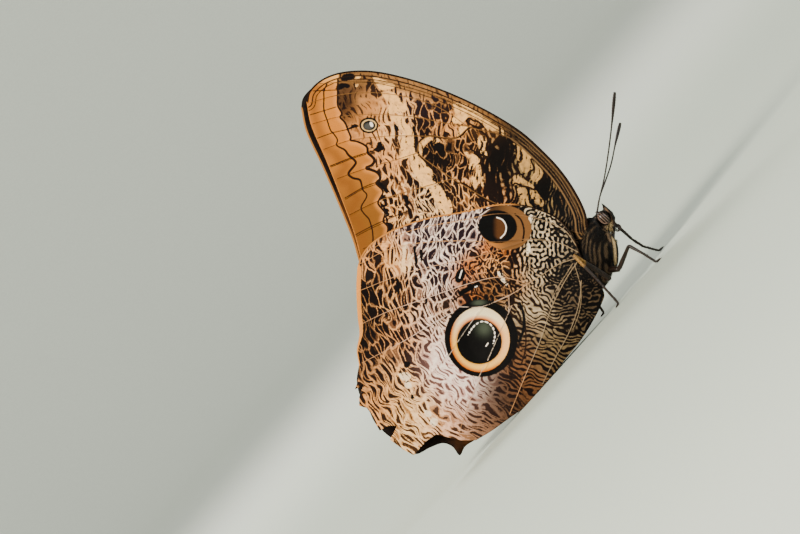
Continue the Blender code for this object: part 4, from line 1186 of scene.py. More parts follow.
def islands(tree, labyrinth_depth, knit):
    """Depths in the ripples and in the darkest of them, where net and labyrinth are blended."""
    flow = add(tree, "ShaderNodeAttribute", attribute_name="flow").outputs["Vector"]
    gap = add(tree, "ShaderNodeSeparateXYZ", {"Vector": flow}).outputs["Z"]
    stray = add(tree, "ShaderNodeTexNoise", {"Vector": flow, "Scale": 1.5, "Detail": 1.0}).outputs["Color"]
    moved = add(tree, "ShaderNodeVectorMath", {0: stray, 1: (0.4, 0.4, 0.0), 2: flow},
                operation="MULTIPLY_ADD").outputs[0]
    border = add(tree, "ShaderNodeTexVoronoi", {"Vector": moved, "Scale": 1.0}, voronoi_dimensions="2D",
                 feature="DISTANCE_TO_EDGE").outputs["Distance"]
    cell = add(tree, "ShaderNodeTexVoronoi", {"Vector": moved, "Scale": 1.0}, voronoi_dimensions="2D")
    luck = add(tree, "ShaderNodeSeparateXYZ", {"Vector": cell.outputs["Color"]})
    depth = add(tree, "ShaderNodeMath", {0: border, 1: gap}, operation="SUBTRACT").outputs[0]
    for factors in ({0: depth, 1: ISLAND, 2: 1.93}, {0: luck.outputs["X"], 1: 0.14}, {0: knit, 1: -2.0}):
        depth = add(tree, "ShaderNodeMath", {2: depth, **factors}, operation="MULTIPLY_ADD").outputs[0]
    wide = add(tree, "ShaderNodeMath", {0: knit, 1: 0.2, 2: labyrinth_depth}, operation="MULTIPLY_ADD")
    both = add(tree, "ShaderNodeMath", {0: wide.outputs[0], 1: depth}, operation="MINIMUM").outputs[0]
    brown = add(tree, "ShaderNodeMapRange", {0: luck.outputs["Y"], 1: 0.78, 2: 0.9, 3: 0.0, 4: 0.14})
    browned = add(tree, "ShaderNodeMath", {0: brown.outputs[0], 1: knit}, operation="MULTIPLY").outputs[0]
    darkest = add(tree, "ShaderNodeMath", {0: both, 1: browned}, operation="SUBTRACT").outputs[0]
    return both, darkest


def underside_scales():
    material, tree, shader = blank_material("wing scales, underside")
    place = add(tree, "ShaderNodeAttribute", attribute_name="place").outputs["Vector"]
    depths = {}
    for group in NUMBERS:
        numbers = add(tree, "ShaderNodeAttribute", attribute_name=group).outputs["Vector"]
        depths.update(zip(group.split(), add(tree, "ShaderNodeSeparateXYZ", {"Vector": numbers}).outputs))
    tones = {tone: add(tree, "ShaderNodeAttribute", attribute_name=tone + " tone").outputs["Color"]
             for tone in TONES}
    depths["ripple"], depths["dark ripple"] = islands(tree, depths["ripple"], depths["knit"])
    pierced = add(tree, "ShaderNodeMath", {0: depths["ripple"], 1: -1.0, 2: 0.2}, operation="MULTIPLY_ADD")
    depths["patch"] = add(tree, "ShaderNodeMath", {0: depths["patch"], 1: pierced.outputs[0]},
                          operation="MINIMUM").outputs[0]
    shake = add(tree, "ShaderNodeTexNoise", {"Vector": place, "Scale": 2.6, "Detail": 2.0}).outputs[0]
    edge = add(tree, "ShaderNodeMath", {0: shake, 1: 0.26, 2: -0.13}, operation="MULTIPLY_ADD").outputs[0]
    warm = add(tree, "ShaderNodeTexNoise", {"Vector": place, "Scale": 0.8, "Detail": 1.0}).outputs[0]
    share = add(tree, "ShaderNodeMapRange", {0: warm, 1: 0.42, 2: 0.66, 3: 0.0, 4: 0.55}).outputs[0]
    paint = add(tree, "ShaderNodeMix", {0: share, 6: tones["light"], 7: tones["middle"]},
                data_type="RGBA").outputs[2]
    tones["patch"] = add(tree, "ShaderNodeMix", {0: share, 6: tones["patch"], 7: paint},
                         data_type="RGBA").outputs[2]
    for depth, shift, tone, soft, ragged in LAYERS:
        shaken = add(tree, "ShaderNodeMath", {0: edge, 1: ragged, 2: depths[depth]},
                     operation="MULTIPLY_ADD")
        cut = add(tree, "ShaderNodeMapRange", {0: shaken.outputs[0], 1: shift - soft, 2: shift + soft},
                  interpolation_type="SMOOTHSTEP").outputs[0]
        above = (*pigment(tone), 1.0) if tone.startswith("#") else tones[tone.split()[0]]
        paint = add(tree, "ShaderNodeMix", {0: cut, 6: paint, 7: above}, data_type="RGBA").outputs[2]
    paint, scales = grained(tree, paint, place, 7.0, 1.0, 0.84, 1.12)
    relief = add(tree, "ShaderNodeBump", {"Strength": 0.25, "Distance": 0.00006, "Height": scales})
    fill(tree, shader, {"Base Color": paint, "Normal": relief.outputs[0], "Roughness": 0.7,
                        "Specular IOR Level": 0.08})
    return material


# %% [markdown]
# ### Upper side and fringe
#
# The upper side is dark brown with a violet blue shine near the body and an ochre band near the
# margin. It only shows where one wing stands a little beyond the other. The fringe is a row of
# pale hair scales along the rim.

# %% Upper side and fringe
def upper_scales():
    material, tree, shader = blank_material("wing scales, upper side")
    place = add(tree, "ShaderNodeAttribute", attribute_name="place").outputs["Vector"]
    away = add(tree, "ShaderNodeVectorMath", {0: place}, operation="LENGTH").outputs["Value"]
    cloud = add(tree, "ShaderNodeTexNoise", {"Vector": place, "Scale": 0.35, "Detail": 3.0}).outputs[0]
    wander = add(tree, "ShaderNodeMath", {0: cloud, 1: 9.0, 2: away}, operation="MULTIPLY_ADD").outputs[0]
    share = add(tree, "ShaderNodeMapRange", {0: wander, 1: 4.0, 2: 72.0}).outputs[0]
    ramp = add(tree, "ShaderNodeValToRGB", {0: share}, [
        (0.0, "#33261C"), (1.0, "#0F0805"), (0.30, "#221F38"), (0.62, "#1A110D"), (0.76, "#5A3210"),
        (0.86, "#140B07")]).outputs[0]
    numbers = add(tree, "ShaderNodeAttribute", attribute_name=NUMBERS[0]).outputs["Vector"]
    edge = add(tree, "ShaderNodeSeparateXYZ", {"Vector": numbers}).outputs["Z"]
    near_edge = add(tree, "ShaderNodeMapRange", {0: edge, 1: 0.0, 2: 0.12}).outputs[0]
    rimmed = add(tree, "ShaderNodeMix", {0: near_edge, 6: ramp, 7: colour("#9C6428")},
                 data_type="RGBA").outputs[2]
    paint = grained(tree, rimmed, place, 6.0, 1.0, 0.8, 1.15)[0]
    fill(tree, shader, {"Base Color": paint, "Roughness": 0.65, "Specular IOR Level": 0.06})
    return material


def fringe_scales():
    material, tree, shader = blank_material("hair scales of the wing fringe")
    place = add(tree, "ShaderNodeAttribute", attribute_name="place").outputs["Vector"]
    tufts = add(tree, "ShaderNodeTexNoise", {"Vector": place, "Scale": 1.4, "Detail": 2.0}).outputs[0]
    ramp = add(tree, "ShaderNodeValToRGB", {0: tufts}, [(0.35, "#B98850"), (0.62, "#E3BF8C")])
    fill(tree, shader, {"Base Color": ramp.outputs[0], "Roughness": 0.8})
    return material


UNDERSIDE = underside_scales()
UPPER_SIDE = upper_scales()
FRINGE = fringe_scales()

# %% [markdown]
# ## The four wings
#
# Both wings of one side overlap like two leaves of a book. Each is a sheet of its own, so that it
# can be hidden or dressed alone. The far forewing stands turned and a little larger, as in the
# photograph, and only the near hindwing has the torn margin.

# %% Build the four wings
# Piece, packed wing, outline, veins, place of its inner side, side, markings, turn, growth, and
# whether its front edge bends towards the forewing
wing_plans = [
    ("wing_fore_right", "forewing_right", FOREWING_OUTLINE, FOREWING_VEINS, FOREWING_INSIDE, -1,
     dress_forewing, 0.0, 1.0, False),
    ("wing_fore_left", "forewing_left", FOREWING_OUTLINE, FOREWING_VEINS, FOREWING_INSIDE, 1,
     dress_forewing, LEFT_FOREWING_TURN, LEFT_FOREWING_GROWTH, False),
    ("wing_hind_right", "hindwing_right", TORN_OUTLINE, HINDWING_VEINS, HINDWING_INSIDE, -1,
     dress_hindwing, 0.0, 1.0, True),
    ("wing_hind_left", "hindwing_left", WHOLE_OUTLINE, HINDWING_VEINS, HINDWING_INSIDE, 1,
     dress_hindwing, 0.0, 1.0, True)]
for piece, node, outline, veins, face_at, side, values_of, turn, growth, bent in wing_plans:
    wing = make_wing(piece, outline, veins, face_at, side, values_of, turn, growth, bent)
    for material in (UNDERSIDE, UPPER_SIDE, FRINGE):
        wing.data.materials.append(material)
    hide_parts(node)
    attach(wing, "root")


# %% [markdown]
# ## The skin of the body
#
# Head, chest, abdomen, palps and the small folded fore legs are one body under one coat. A skin is
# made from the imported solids: copies of them are joined, swollen a little so that they meet, and
# remeshed into one closed surface, which then shrinks to lie inside them by the depth of the coat.
# This is the way one would do it by hand, with the Displace, Remesh and Smooth modifiers.

# %% Join the solids of flesh
FLESH = {"head": 0.26, "thorax": 0.42, "abdomen": 0.36, "palpus_right": 0.2, "palpus_left": 0.2,
         "leg_fore_right": 0.14, "leg_fore_left": 0.14}
SWELL = 0.26


def select_only(*objects):
    """Deselects everything else, and makes the first of these objects the active one."""
    bpy.ops.object.select_all(action="DESELECT")
    for obj in objects:
        obj.select_set(True)
    bpy.context.view_layer.objects.active = objects[0]


def apply_modifier(obj, kind, **settings):
    """Adds a modifier, sets it and applies it, with only this object selected."""
    select_only(obj)
    modifier = obj.modifiers.new(kind.lower(), kind)
    for name, value in settings.items():
        setattr(modifier, name, value)
    bpy.ops.object.modifier_apply(modifier=modifier.name)


def mesh_rows(obj, name="co"):
    """The places of an object's points, or their normals."""
    rows = np.zeros(len(obj.data.vertices) * 3)
    obj.data.vertices.foreach_get(name, rows)
    return rows.reshape(-1, 3)


copies = []
for name in FLESH:
    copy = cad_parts[name].copy()
    copy.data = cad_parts[name].data.copy()
    copy.parent = None
    copy.matrix_world = Matrix.Identity(4)
    bpy.context.scene.collection.objects.link(copy)
    copies.append(copy)
flesh_tree = KDTree(sum(len(copy.data.vertices) for copy in copies))
flesh_depths = []
flesh_kinds = []
for copy, (name, depth) in zip(copies, FLESH.items()):
    for point in mesh_rows(copy):
        flesh_tree.insert(point, len(flesh_depths))
        flesh_depths.append(depth)
        flesh_kinds.append(name.split("_")[0])
flesh_tree.balance()
select_only(*copies)
bpy.ops.object.join()
skin = bpy.context.view_layer.objects.active
skin.name = "body_skin"
bpy.ops.object.mode_set(mode="EDIT")
bpy.ops.mesh.select_all(action="SELECT")
bpy.ops.mesh.remove_doubles(threshold=0.002 * MM)
bpy.ops.mesh.normals_make_consistent(inside=False)
bpy.ops.object.mode_set(mode="OBJECT")
skin.data.materials.clear()

# %% [markdown]
# ## One skin over all parts
#
# On the animal one skin runs over head, chest and abdomen without a step. Joined solids show
# creases, so the shapes are swollen until they meet, turned into one even net and shrunk back. Each
# point goes in by the depth of the coat above it, so that the tips of the hair end at the solid.

# %% Swell, remesh and shrink
apply_modifier(skin, "DISPLACE", strength=SWELL * MM, mid_level=0.0)
apply_modifier(skin, "REMESH", mode="VOXEL", voxel_size=0.25 * MM)
apply_modifier(skin, "SMOOTH", factor=0.5, iterations=3)
skin_points = mesh_rows(skin)
nearest = [flesh_tree.find(point)[1] for point in skin_points]
depths = np.array([flesh_depths[index] for index in nearest])
moved = skin_points - mesh_rows(skin, "normal") * ((SWELL + depths) * MM)[:, None]
skin.data.vertices.foreach_set("co", moved.ravel())
skin.data.update()
apply_modifier(skin, "SMOOTH", factor=0.5, iterations=4)
apply_modifier(skin, "TRIANGULATE")
skin.data.shade_smooth()
print("skin:", len(skin.data.polygons), "triangles")

# %% [markdown]
# ## Markings of the body
#
# The body is dark brown, nearly black in the shade of the wings. A cream stripe runs down the chest
# along each folded fore leg, the palps are ochre brown with dark profiles and a fine pale line, and
# a pale rim lies behind each eye. One function gives the tone of any place, for skin and coat alike.

# %% Tone of the body
def unit(vectors):
    return vectors / np.maximum(np.linalg.norm(vectors, axis=1), 1e-9)[:, None]


CHEST_STRIPE = traced("609.4,223.6 611.2,229 613.4,240 614.7,249 615.3,262")
SECOND_STRIPE = traced("604.4,227 607.4,232.6 610.3,240.7")
EYE_RIM = traced("595.2,216.2 598.3,219.3 602.3,222.3 606.2,225.2")
PALP_LINE = traced("605.9,208.6 609,213.2 611,218.8 611.8,222.8")
PALP_FRONT = traced("602.6,203.2 606.2,206 609.8,210 613.6,216 615.6,221.5")
BODY_LINE_WITH_HEAD = np.vstack([[(5.6, 6.2), (3.6, 3.6)], BODY_LINE])


def nearest_place(flat, line):
    """Number of the place of a line that is nearest to each point, and the line's direction there."""
    index = ((flat[:, None, :] - line[None, :, :]) ** 2).sum(2).argmin(1)
    return index, unit(np.gradient(line, axis=0))[index]


def along_body(places):
    """Distance along the middle line of the body and to its front side, and the line's direction."""
    line = resample(BODY_LINE_WITH_HEAD, 0.5)
    flat = places[:, [0, 2]]
    index, run = nearest_place(flat, line)
    away = flat - line[index]
    out = away[:, 1] * run[:, 0] - away[:, 0] * run[:, 1]
    return index * 0.5 + (away * run).sum(1), out, run


def body_tones(places, kinds, rng):
    """Tone of each place of the drawing in mm, in linear values."""
    flat = places[:, [0, 2]]
    along, out, _ = along_body(places)
    side = abs(places[:, 1])
    strand = read_sheet(STREAKED, out + 0.8 * side, along, 1.0)
    back = smooth_step((flat[:, 1] + 12) / -6)
    under = smooth_step((side - 2.0) / 1.5) * back
    tones = mixed("#2A1D13", ("#948068", smooth_step((strand - 0.68) / 0.22) * 0.6),
                  ("#0A0604", smooth_step((0.52 - strand) / 0.3)), ("#4E3E2C", back * 0.7),
                  ("#8A7458", under * 0.4))
    profile = smooth_step(1.35 - distance_to_line(flat, PALP_FRONT) / 0.42)
    fine_line = smooth_step(1.3 - distance_to_line(flat, PALP_LINE) / 0.26)
    own_tones = {
        "head": mixed("#120C08", ("#3E2C1C", strand * 0.7)),
        "leg": mixed("#0C0704", ("#2E2218", strand * 0.5)),
        "palpus": mixed("#3A2A1C", ("#5E4630", strand), ("#A08468", fine_line),
                        ("#0E0805", np.maximum(profile, smooth_step((0.95 - side) / 0.3))),
                        ("#0E0805", smooth_step((flat[:, 1] - 5.4) / 0.5)))}
    for kind, own in own_tones.items():
        tones = np.where((np.array(kinds) == kind)[:, None], own, tones)
    away_from_middle = smooth_step((side - 0.7) / 0.5)
    for line, width, hex_colour, strength in (
            (CHEST_STRIPE, 0.36, "#E6D2AE", 1.0), (SECOND_STRIPE, 0.24, "#A9927A", 0.8),
            (EYE_RIM, 0.22, "#CDB8A8", 1.0)):
        stripe = smooth_step(1.3 - distance_to_line(flat, line) / width) * strength
        tones = mixed(tones, (hex_colour, stripe * away_from_middle))
    return tones * rng.uniform(0.7, 1.3, len(tones))[:, None]


def body_unwrap(places):
    """Flat place from 0 to 1 of each point: how far round the body's middle line, and how far along."""
    along, out, _ = along_body(places)
    turn = np.arctan2(places[:, 1], out) / (2 * math.pi) + 0.5
    whole = 0.5 * len(resample(BODY_LINE_WITH_HEAD, 0.5))
    return np.column_stack([turn, np.clip(0.06 + 0.88 * along / whole, 0.005, 0.995)])


# %% [markdown]
# ## Tufts of hair
#
# The coat is made of tufts, each a thin three sided spike of ten faces. Thousands of them lie over
# each other along the body. They are long on the chest, shorter on the abdomen, and shortest on the
# head, palps and fore legs. The tufts of one region are one mesh.

# %% Tufts
# Tufts on each square mm, their length and width in mm, and how steeply they stand
TUFTS = {
    "thorax": (58, 1.25, 0.075, 0.30),
    "abdomen": (46, 0.95, 0.075, 0.24),
    "head": (120, 0.50, 0.05, 0.34),
    "palpus": (130, 0.46, 0.045, 0.42),
    "leg": (130, 0.50, 0.045, 0.30),
}
PALPUS = [(5.0, 1.15, 1.3), (5.8, 1.2, 2.4), (5.3, 1.2, 3.9), (4.4, 1.1, 5.2), (3.3, 1.0, 6.4)]


def hair_run(places, kinds):
    """Direction in which the hair lies at each place of the drawing."""
    flat = places[:, [0, 2]]
    is_palp = (np.array(kinds) == "palpus")[:, None]
    palp_line = resample(np.array(PALPUS)[:, [0, 2]], 0.3)
    run = np.where(is_palp, nearest_place(flat, palp_line)[1], along_body(places)[2])
    stripe = resample(CHEST_STRIPE, 0.3)
    beside = smooth_step(1.5 - distance_to_line(flat, stripe, 2.0) / 0.8)[:, None] * ~is_palp
    run = run * (1 - beside) + nearest_place(flat, stripe)[1] * beside
    return np.column_stack([run[:, 0], np.zeros(len(run)), run[:, 1]])


def scatter(points, faces, density, rng):
    """Random places on a mesh: the face of each and its weights for the three corners."""
    corners = points[faces]
    edges = corners[:, 1:] - corners[:, :1]
    areas = np.linalg.norm(np.cross(edges[:, 0], edges[:, 1]), axis=1) / 2
    wanted = areas / MM ** 2 * density
    counts = np.floor(wanted + rng.random(len(wanted))).astype(int)
    chosen = np.repeat(np.arange(len(faces)), counts)
    a = np.sqrt(rng.random(len(chosen)))
    b = rng.random(len(chosen))
    return chosen, np.column_stack([1 - a, a * (1 - b), a * b])


def make_tufts(name, roots, normals, runs, length, width, lift, tones, unwrapped, rng):
    """One mesh of thin spikes that stand on the roots and lean along the hair's run."""
    count = len(roots)
    tangent = unit(runs - normals * (runs * normals).sum(1)[:, None])
    wander = rng.normal(0, 0.16, (count, 3))
    lean = unit(tangent + normals * (lift + rng.normal(0, 0.06, count))[:, None] + wander)
    bent = unit(tangent + normals * (lift * 0.35)[:, None] + wander * 1.2)
    across = unit(np.cross(lean, normals))
    up = unit(np.cross(across, lean))
    long = length * rng.uniform(0.7, 1.2, count)[:, None] * MM
    half = width * rng.uniform(0.8, 1.2, count)[:, None] * MM / 2
    sunk = roots - normals * 0.08 * MM
    middle = sunk + lean * long * 0.5
    rows = []
    for centre, thick in ((sunk, half), (middle, half * 0.85)):
        for turn in (0, 1, 2):
            angle = 2 * math.pi * turn / 3
            rows.append(centre + (across * math.cos(angle) + up * math.sin(angle) * 0.6) * thick)
    rows.append(middle + bent * long * 0.5)
    points = np.stack(rows, axis=1).reshape(-1, 3)
    shape = np.array([(0, 2, 1), (0, 1, 4), (0, 4, 3), (1, 2, 5), (1, 5, 4), (2, 0, 3), (2, 3, 5),
                      (3, 4, 6), (4, 5, 6), (5, 3, 6)])
    faces = (shape[None] + 7 * np.arange(count)[:, None, None]).reshape(-1, 3)
    obj = plain_mesh(name, points, faces)
    # Each tuft is darker at its root and paler at its tip: painted shade deep in the coat, and painted
    # light on the tips.
    shade = np.array([0.55, 0.55, 0.55, 0.95, 0.95, 0.95, 1.15])
    write_numbers(obj, "painted shade and hair tone", (tones[:, None, :] * shade[None, :, None]).reshape(-1, 3))
    patch = np.array([(0, 0), (1, 0), (0, 1), (0.3, 0.3), (1, 0.3), (0.3, 1), (0.8, 0.8)]) * 0.003
    flat = (unwrapped[:, None, :] * 0.99 + patch[None]).reshape(-1, 2)
    obj.data.uv_layers.new(name="OFBake").data.foreach_set("uv", flat[faces.ravel()].ravel())
    return obj


# %% [markdown]
# ## The coat
#
# Butterfly hair is dense on the chest, thin on the abdomen and shortest on face and legs. A hair
# system could grow it, but solid tufts can be exported and seen from all sides. They are
# scattered evenly over the skin, follow the hair's run and lie almost flat. Short scales reach over
# the rims of the eyes and hide the joint between eye and face.

# %% Grow the coat
EYE_CENTRE = (3.6, 1.75, 3.25)
EYE_HALF = (1.66, 1.12, 1.17)
EYE_SLANT = math.radians(38)
rng = np.random.default_rng(21)
skin_points = mesh_rows(skin)
skin_normals = mesh_rows(skin, "normal")
skin_faces = np.zeros(len(skin.data.polygons) * 3, int)
skin.data.polygons.foreach_get("vertices", skin_faces)
skin_faces = skin_faces.reshape(-1, 3)
face_middles = skin_points[skin_faces].mean(1)
face_kinds = np.array([flesh_kinds[flesh_tree.find(point)[1]] for point in face_middles])
placed = in_drawing(skin_points)
point_kinds = [flesh_kinds[flesh_tree.find(point)[1]] for point in skin_points]
even = np.random.default_rng(4)
# The skin takes the body's tone at half strength: it is darker than the hair, and this darkness is also
# painted shade between the tufts.
write_numbers(skin, "painted shade and hair tone", body_tones(placed, point_kinds, even) * 0.5)
flat = body_unwrap(placed)[skin_faces]
wraps = (flat[:, :, 0].max(1) - flat[:, :, 0].min(1)) > 0.5
flat[:, :, 0] = np.where(wraps[:, None] & (flat[:, :, 0] < 0.5), flat[:, :, 0] + 1, flat[:, :, 0])
flat[:, :, 0] = flat[:, :, 0] * 0.9 + 0.02
skin.data.uv_layers.new(name="OFBake").data.foreach_set("uv", flat.ravel())


def eye_lashes(side):
    """Short scales that reach over the edge of an eye, pale behind it and dark in front."""
    turns = np.concatenate([rng.uniform(195, 345, 420), rng.uniform(25, 155, 320)])
    round_eye = np.radians(turns)
    up_eye = np.radians(rng.uniform(2, 20, len(turns)))
    half = np.array(EYE_HALF)
    ball = np.column_stack([np.cos(round_eye) * np.cos(up_eye), side * np.sin(up_eye),
                            np.sin(round_eye) * np.cos(up_eye)])
    way = np.column_stack([-np.cos(round_eye) * np.sin(up_eye), side * np.cos(up_eye),
                           -np.sin(round_eye) * np.sin(up_eye)]) * half
    slant = np.array(Matrix.Rotation(EYE_SLANT, 3, "Y"))
    centre = np.array(EYE_CENTRE) * (1, side, 1)
    places = centre + ball * half @ slant.T
    normals = unit(ball / half) @ slant.T
    way = unit(way @ slant.T + 0.35 * np.array([slant[0, 0], 0, slant[2, 0]]))
    tones = np.where((turns > 180)[:, None], pigment("#C0AA9C"), pigment("#1E140C"))
    tones = tones * rng.uniform(0.6, 1.2, len(turns))[:, None]
    return (on_floor(places), leaned(normals), leaned(way), 0.52, 0.06, 0.20,
            tones, body_unwrap(places))


def throat_hair():
    """Long hair that hangs from the throat to the folded fore legs and hides the neck."""
    lot = np.random.default_rng(12)
    count = 340
    ahead = lot.uniform(4.2, 5.5, count)
    places = np.column_stack([ahead, lot.uniform(-1.35, 1.35, count),
                              1.35 + 0.5 * (ahead - 4.2) + lot.uniform(0, 0.3, count)])
    normals = unit(places * (0, 1, 0) + (0.3, 0, 0))
    down = np.tile((0.26, 0.0, -1.0), (count, 1))
    return (on_floor(places), leaned(normals), leaned(down), 2.35, 0.1, 0.02,
            body_tones(places, ["leg"] * count, lot), body_unwrap(places))


def grow(piece, kinds):
    """The coat over the faces of these kinds, as one piece."""
    parts = [eye_lashes(side) for side in (-1, 1) if "head" in kinds]
    if "head" in kinds:
        parts.append(throat_hair())
    for kind in kinds:
        density, length, width, lift = TUFTS[kind]
        mine = skin_faces[face_kinds == kind]
        chosen, weights = scatter(skin_points, mine, density, rng)
        corners = mine[chosen]
        roots = (skin_points[corners] * weights[:, :, None]).sum(1)
        normals = unit((skin_normals[corners] * weights[:, :, None]).sum(1))
        places = in_drawing(roots)
        names = [kind] * len(roots)
        runs = leaned(hair_run(places, names))
        tones = body_tones(places, names, rng)
        throat = np.exp(-((places[:, [0, 2]] - (4.9, 1.4)) ** 2).sum(1) / 1.8)
        length = length * (1 + (3.6 if kind == "head" else 0.6) * throat)
        parts.append((roots, normals, runs, length, width, lift, tones, body_unwrap(places)))
    stacked = [np.concatenate([part[k] for part in parts]) for k in (0, 1, 2, 6, 7)]
    sizes = [np.concatenate([np.ones(len(part[0])) * part[k] for part in parts]) for k in (3, 4, 5)]
    obj = make_tufts(piece, stacked[0], stacked[1], stacked[2], sizes[0][:, None], sizes[1][:, None],
                     sizes[2], stacked[3], stacked[4], rng)
    print(piece, len(obj.data.polygons), "triangles")
    return obj


coat_thorax = grow("coat_thorax", ["thorax"])
coat_abdomen = grow("coat_abdomen", ["abdomen"])
coat_head = grow("coat_head", ["head", "palpus", "leg"])

# %% [markdown]
# ## Materials of hair and skin
#
# Hair of an insect is a dry, slightly glossy scale. The tone comes with each tuft, with painted shade
# at its root and painted light at its tip, and a fine noise adds the uneven dust of loose scales, so
# that no two tufts look the same. The skin below is darker and rougher, and its darkness is also
# painted shade between the tufts.

# %% Hair and skin materials
def body_material(name, dust_scale, detail, darkest, palest, roughness, gloss):
    material, tree, shader = blank_material(name)
    tone = add(tree, "ShaderNodeAttribute", attribute_name="painted shade and hair tone").outputs["Color"]
    place = add(tree, "ShaderNodeTexCoord").outputs["Object"]
    dusted = grained(tree, tone, place, dust_scale, detail, darkest, palest)[0]
    fill(tree, shader, {"Base Color": dusted, "Roughness": roughness, "Specular IOR Level": gloss})
    return material


HAIR = body_material("body hair, brown", 2500.0, 1.0, 0.85, 1.15, 0.55, 0.2)
skin.data.materials.append(body_material("body skin under the hair", 4000.0, 2.0, 0.7, 1.1, 0.8, 0.5))
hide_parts(*FLESH)
for coat in (coat_thorax, coat_abdomen, coat_head):
    coat.data.materials.append(HAIR)
for piece in (skin, coat_thorax, coat_abdomen, coat_head):
    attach(piece, "root")


# %% [markdown]
# ## Eyes
#
# A butterfly's eye is a dome of thousands of tiny lenses under a clear, slightly glossy surface.
# In this family it is dark brown with a few slanting pale bands. Each eye is a sphere squashed to
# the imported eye's size and tilt, a hair smaller, with the facets as a fine bump in its material.

# %% Eyes
def compound_eye():
    material, tree, shader = blank_material("compound eye, banded brown")
    place = add(tree, "ShaderNodeTexCoord").outputs["Object"]
    bands = add(tree, "ShaderNodeTexWave", {"Vector": place, "Scale": 610.0, "Distortion": 0.7,
                                            "Detail": 1.0}, bands_direction="X").outputs["Fac"]
    ramp = add(tree, "ShaderNodeValToRGB", {0: bands}, [(0.68, "#080403"), (0.95, "#725A4C")])
    facets = add(tree, "ShaderNodeTexVoronoi", {"Vector": place, "Scale": 9000.0}).outputs[0]
    relief = add(tree, "ShaderNodeBump", {"Strength": 0.35, "Distance": 0.00003, "Height": facets})
    fill(tree, shader, {"Base Color": ramp.outputs[0], "Normal": relief.outputs[0], "Roughness": 0.3,
                        "Specular IOR Level": 0.25, "Coat Weight": 0.12})
    return material


EYE = compound_eye()
for name, side in (("left", 1), ("right", -1)):
    bpy.ops.object.select_all(action="DESELECT")
    bpy.ops.mesh.primitive_uv_sphere_add(segments=56, ring_count=32, radius=1.0)
    eye = bpy.context.view_layer.objects.active
    eye.name = "facet_eye_" + name
    turn = Matrix.Rotation(EYE_SLANT, 4, "Y")
    stance = Matrix.Rotation(STANCE_TURN, 4, "Y")
    centre = Matrix.Translation((EYE_CENTRE[0], side * EYE_CENTRE[1], EYE_CENTRE[2]))
    size = Matrix.Diagonal((*EYE_HALF, 1.0))
    shift = Matrix.Translation(Vector(ROOT) * MM)
    eye.data.transform(shift @ stance @ Matrix.Scale(MM, 4) @ centre @ turn @ size)
    eye.data.shade_smooth()
    eye.data.materials.append(EYE)
    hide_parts("eye_" + name)
    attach(eye, "root")

# %% [markdown]
# ## Legs, feelers and tongue
#
# These are hard tubes of chitin. A leg has a thick thigh, a shin with spines and two spurs at its
# end, and a foot of five short joints with two claws. A feeler is a long string of forty small
# rings that swells into a club. The tongue is rolled up like a watch spring. All of them follow
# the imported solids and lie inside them.

# %% Tubes
def rod(route, radii, sides):
    """Points and triangles of a closed tube along a route of places, in the drawing's mm."""
    route = np.asarray(route, float)
    run = unit(np.gradient(route, axis=0))
    across = np.cross(run[0], (0.0, 1.0, 0.0))
    if np.linalg.norm(across) < 0.3:
        across = np.cross(run[0], (1.0, 0.0, 0.0))
    angles = np.arange(sides) * 2 * math.pi / sides
    rows = []
    for centre, direction, radius in zip(route, run, radii):
        across = across - direction * (across @ direction)
        across /= np.linalg.norm(across)
        other = np.cross(direction, across)
        ring = np.outer(np.cos(angles), across) + np.outer(np.sin(angles), other)
        rows.append(centre + ring * radius)
    points = np.vstack(rows + [route[:1] - run[:1] * radii[0] * 0.5,
                               route[-1:] + run[-1:] * radii[-1] * 0.5])
    faces = []
    for ring in range(len(route) - 1):
        for k in range(sides):
            a = ring * sides + k
            b = ring * sides + (k + 1) % sides
            faces += [(a, b + sides, b), (a, a + sides, b + sides)]
    last = (len(route) - 1) * sides
    for k in range(sides):
        following = (k + 1) % sides
        faces += [(k, following, len(points) - 2), (last + following, last + k, len(points) - 1)]
    return points, np.array(faces)


def joined(parts):
    """Points and faces of several parts as one list each."""
    starts = np.cumsum([0] + [len(points) for points, _ in parts])
    return (np.vstack([points for points, _ in parts]),
            np.vstack([faces + start for (_, faces), start in zip(parts, starts)]))


def hard_piece(name, parts, material, node):
    points, faces = joined(parts)
    obj = plain_mesh(name, on_floor(points), faces)
    select_only(obj)
    bpy.ops.object.mode_set(mode="EDIT")
    bpy.ops.mesh.select_all(action="SELECT")
    bpy.ops.mesh.normals_make_consistent(inside=False)
    bpy.ops.object.mode_set(mode="OBJECT")
    bpy.ops.object.shade_smooth_by_angle(angle=math.radians(50))
    obj.data.materials.append(material)
    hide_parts(node)
    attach(obj, "root")
    print(name, len(faces), "triangles")
    return obj


# %% [markdown]
# ## Chitin
#
# Legs, feelers and tongue have a hard horny shell with short scales. Specks of two browns and a
# very fine relief break the gloss, so that the thin limbs look grown and not like wire.

# %% Chitin
def chitin(name, dark, light, size):
    material, tree, shader = blank_material(name)
    place = add(tree, "ShaderNodeTexCoord").outputs["Object"]
    specks = add(tree, "ShaderNodeTexNoise", {"Vector": place, "Scale": size, "Detail": 3.0}).outputs[0]
    ramp = add(tree, "ShaderNodeValToRGB", {0: specks}, [(0.36, dark), (0.66, light)])
    relief = add(tree, "ShaderNodeBump", {"Strength": 0.4, "Distance": 0.00004, "Height": specks})
    fill(tree, shader, {"Base Color": ramp.outputs[0], "Normal": relief.outputs[0], "Roughness": 0.45,
                        "Specular IOR Level": 0.3})
    return material


LEG_SHELL = chitin("leg shell with short brown scales", "#0B0603", "#2A1A10", 2600.0)
KNEE_SHELL = chitin("ochre scales of a hind leg", "#54340E", "#9C7230", 2600.0)
FEELER_SHELL = chitin("feeler rings, dark brown", "#0A0604", "#22150E", 3000.0)
TONGUE_SHELL = chitin("tongue, dark horn", "#0E0805", "#2C1A10", 3500.0)

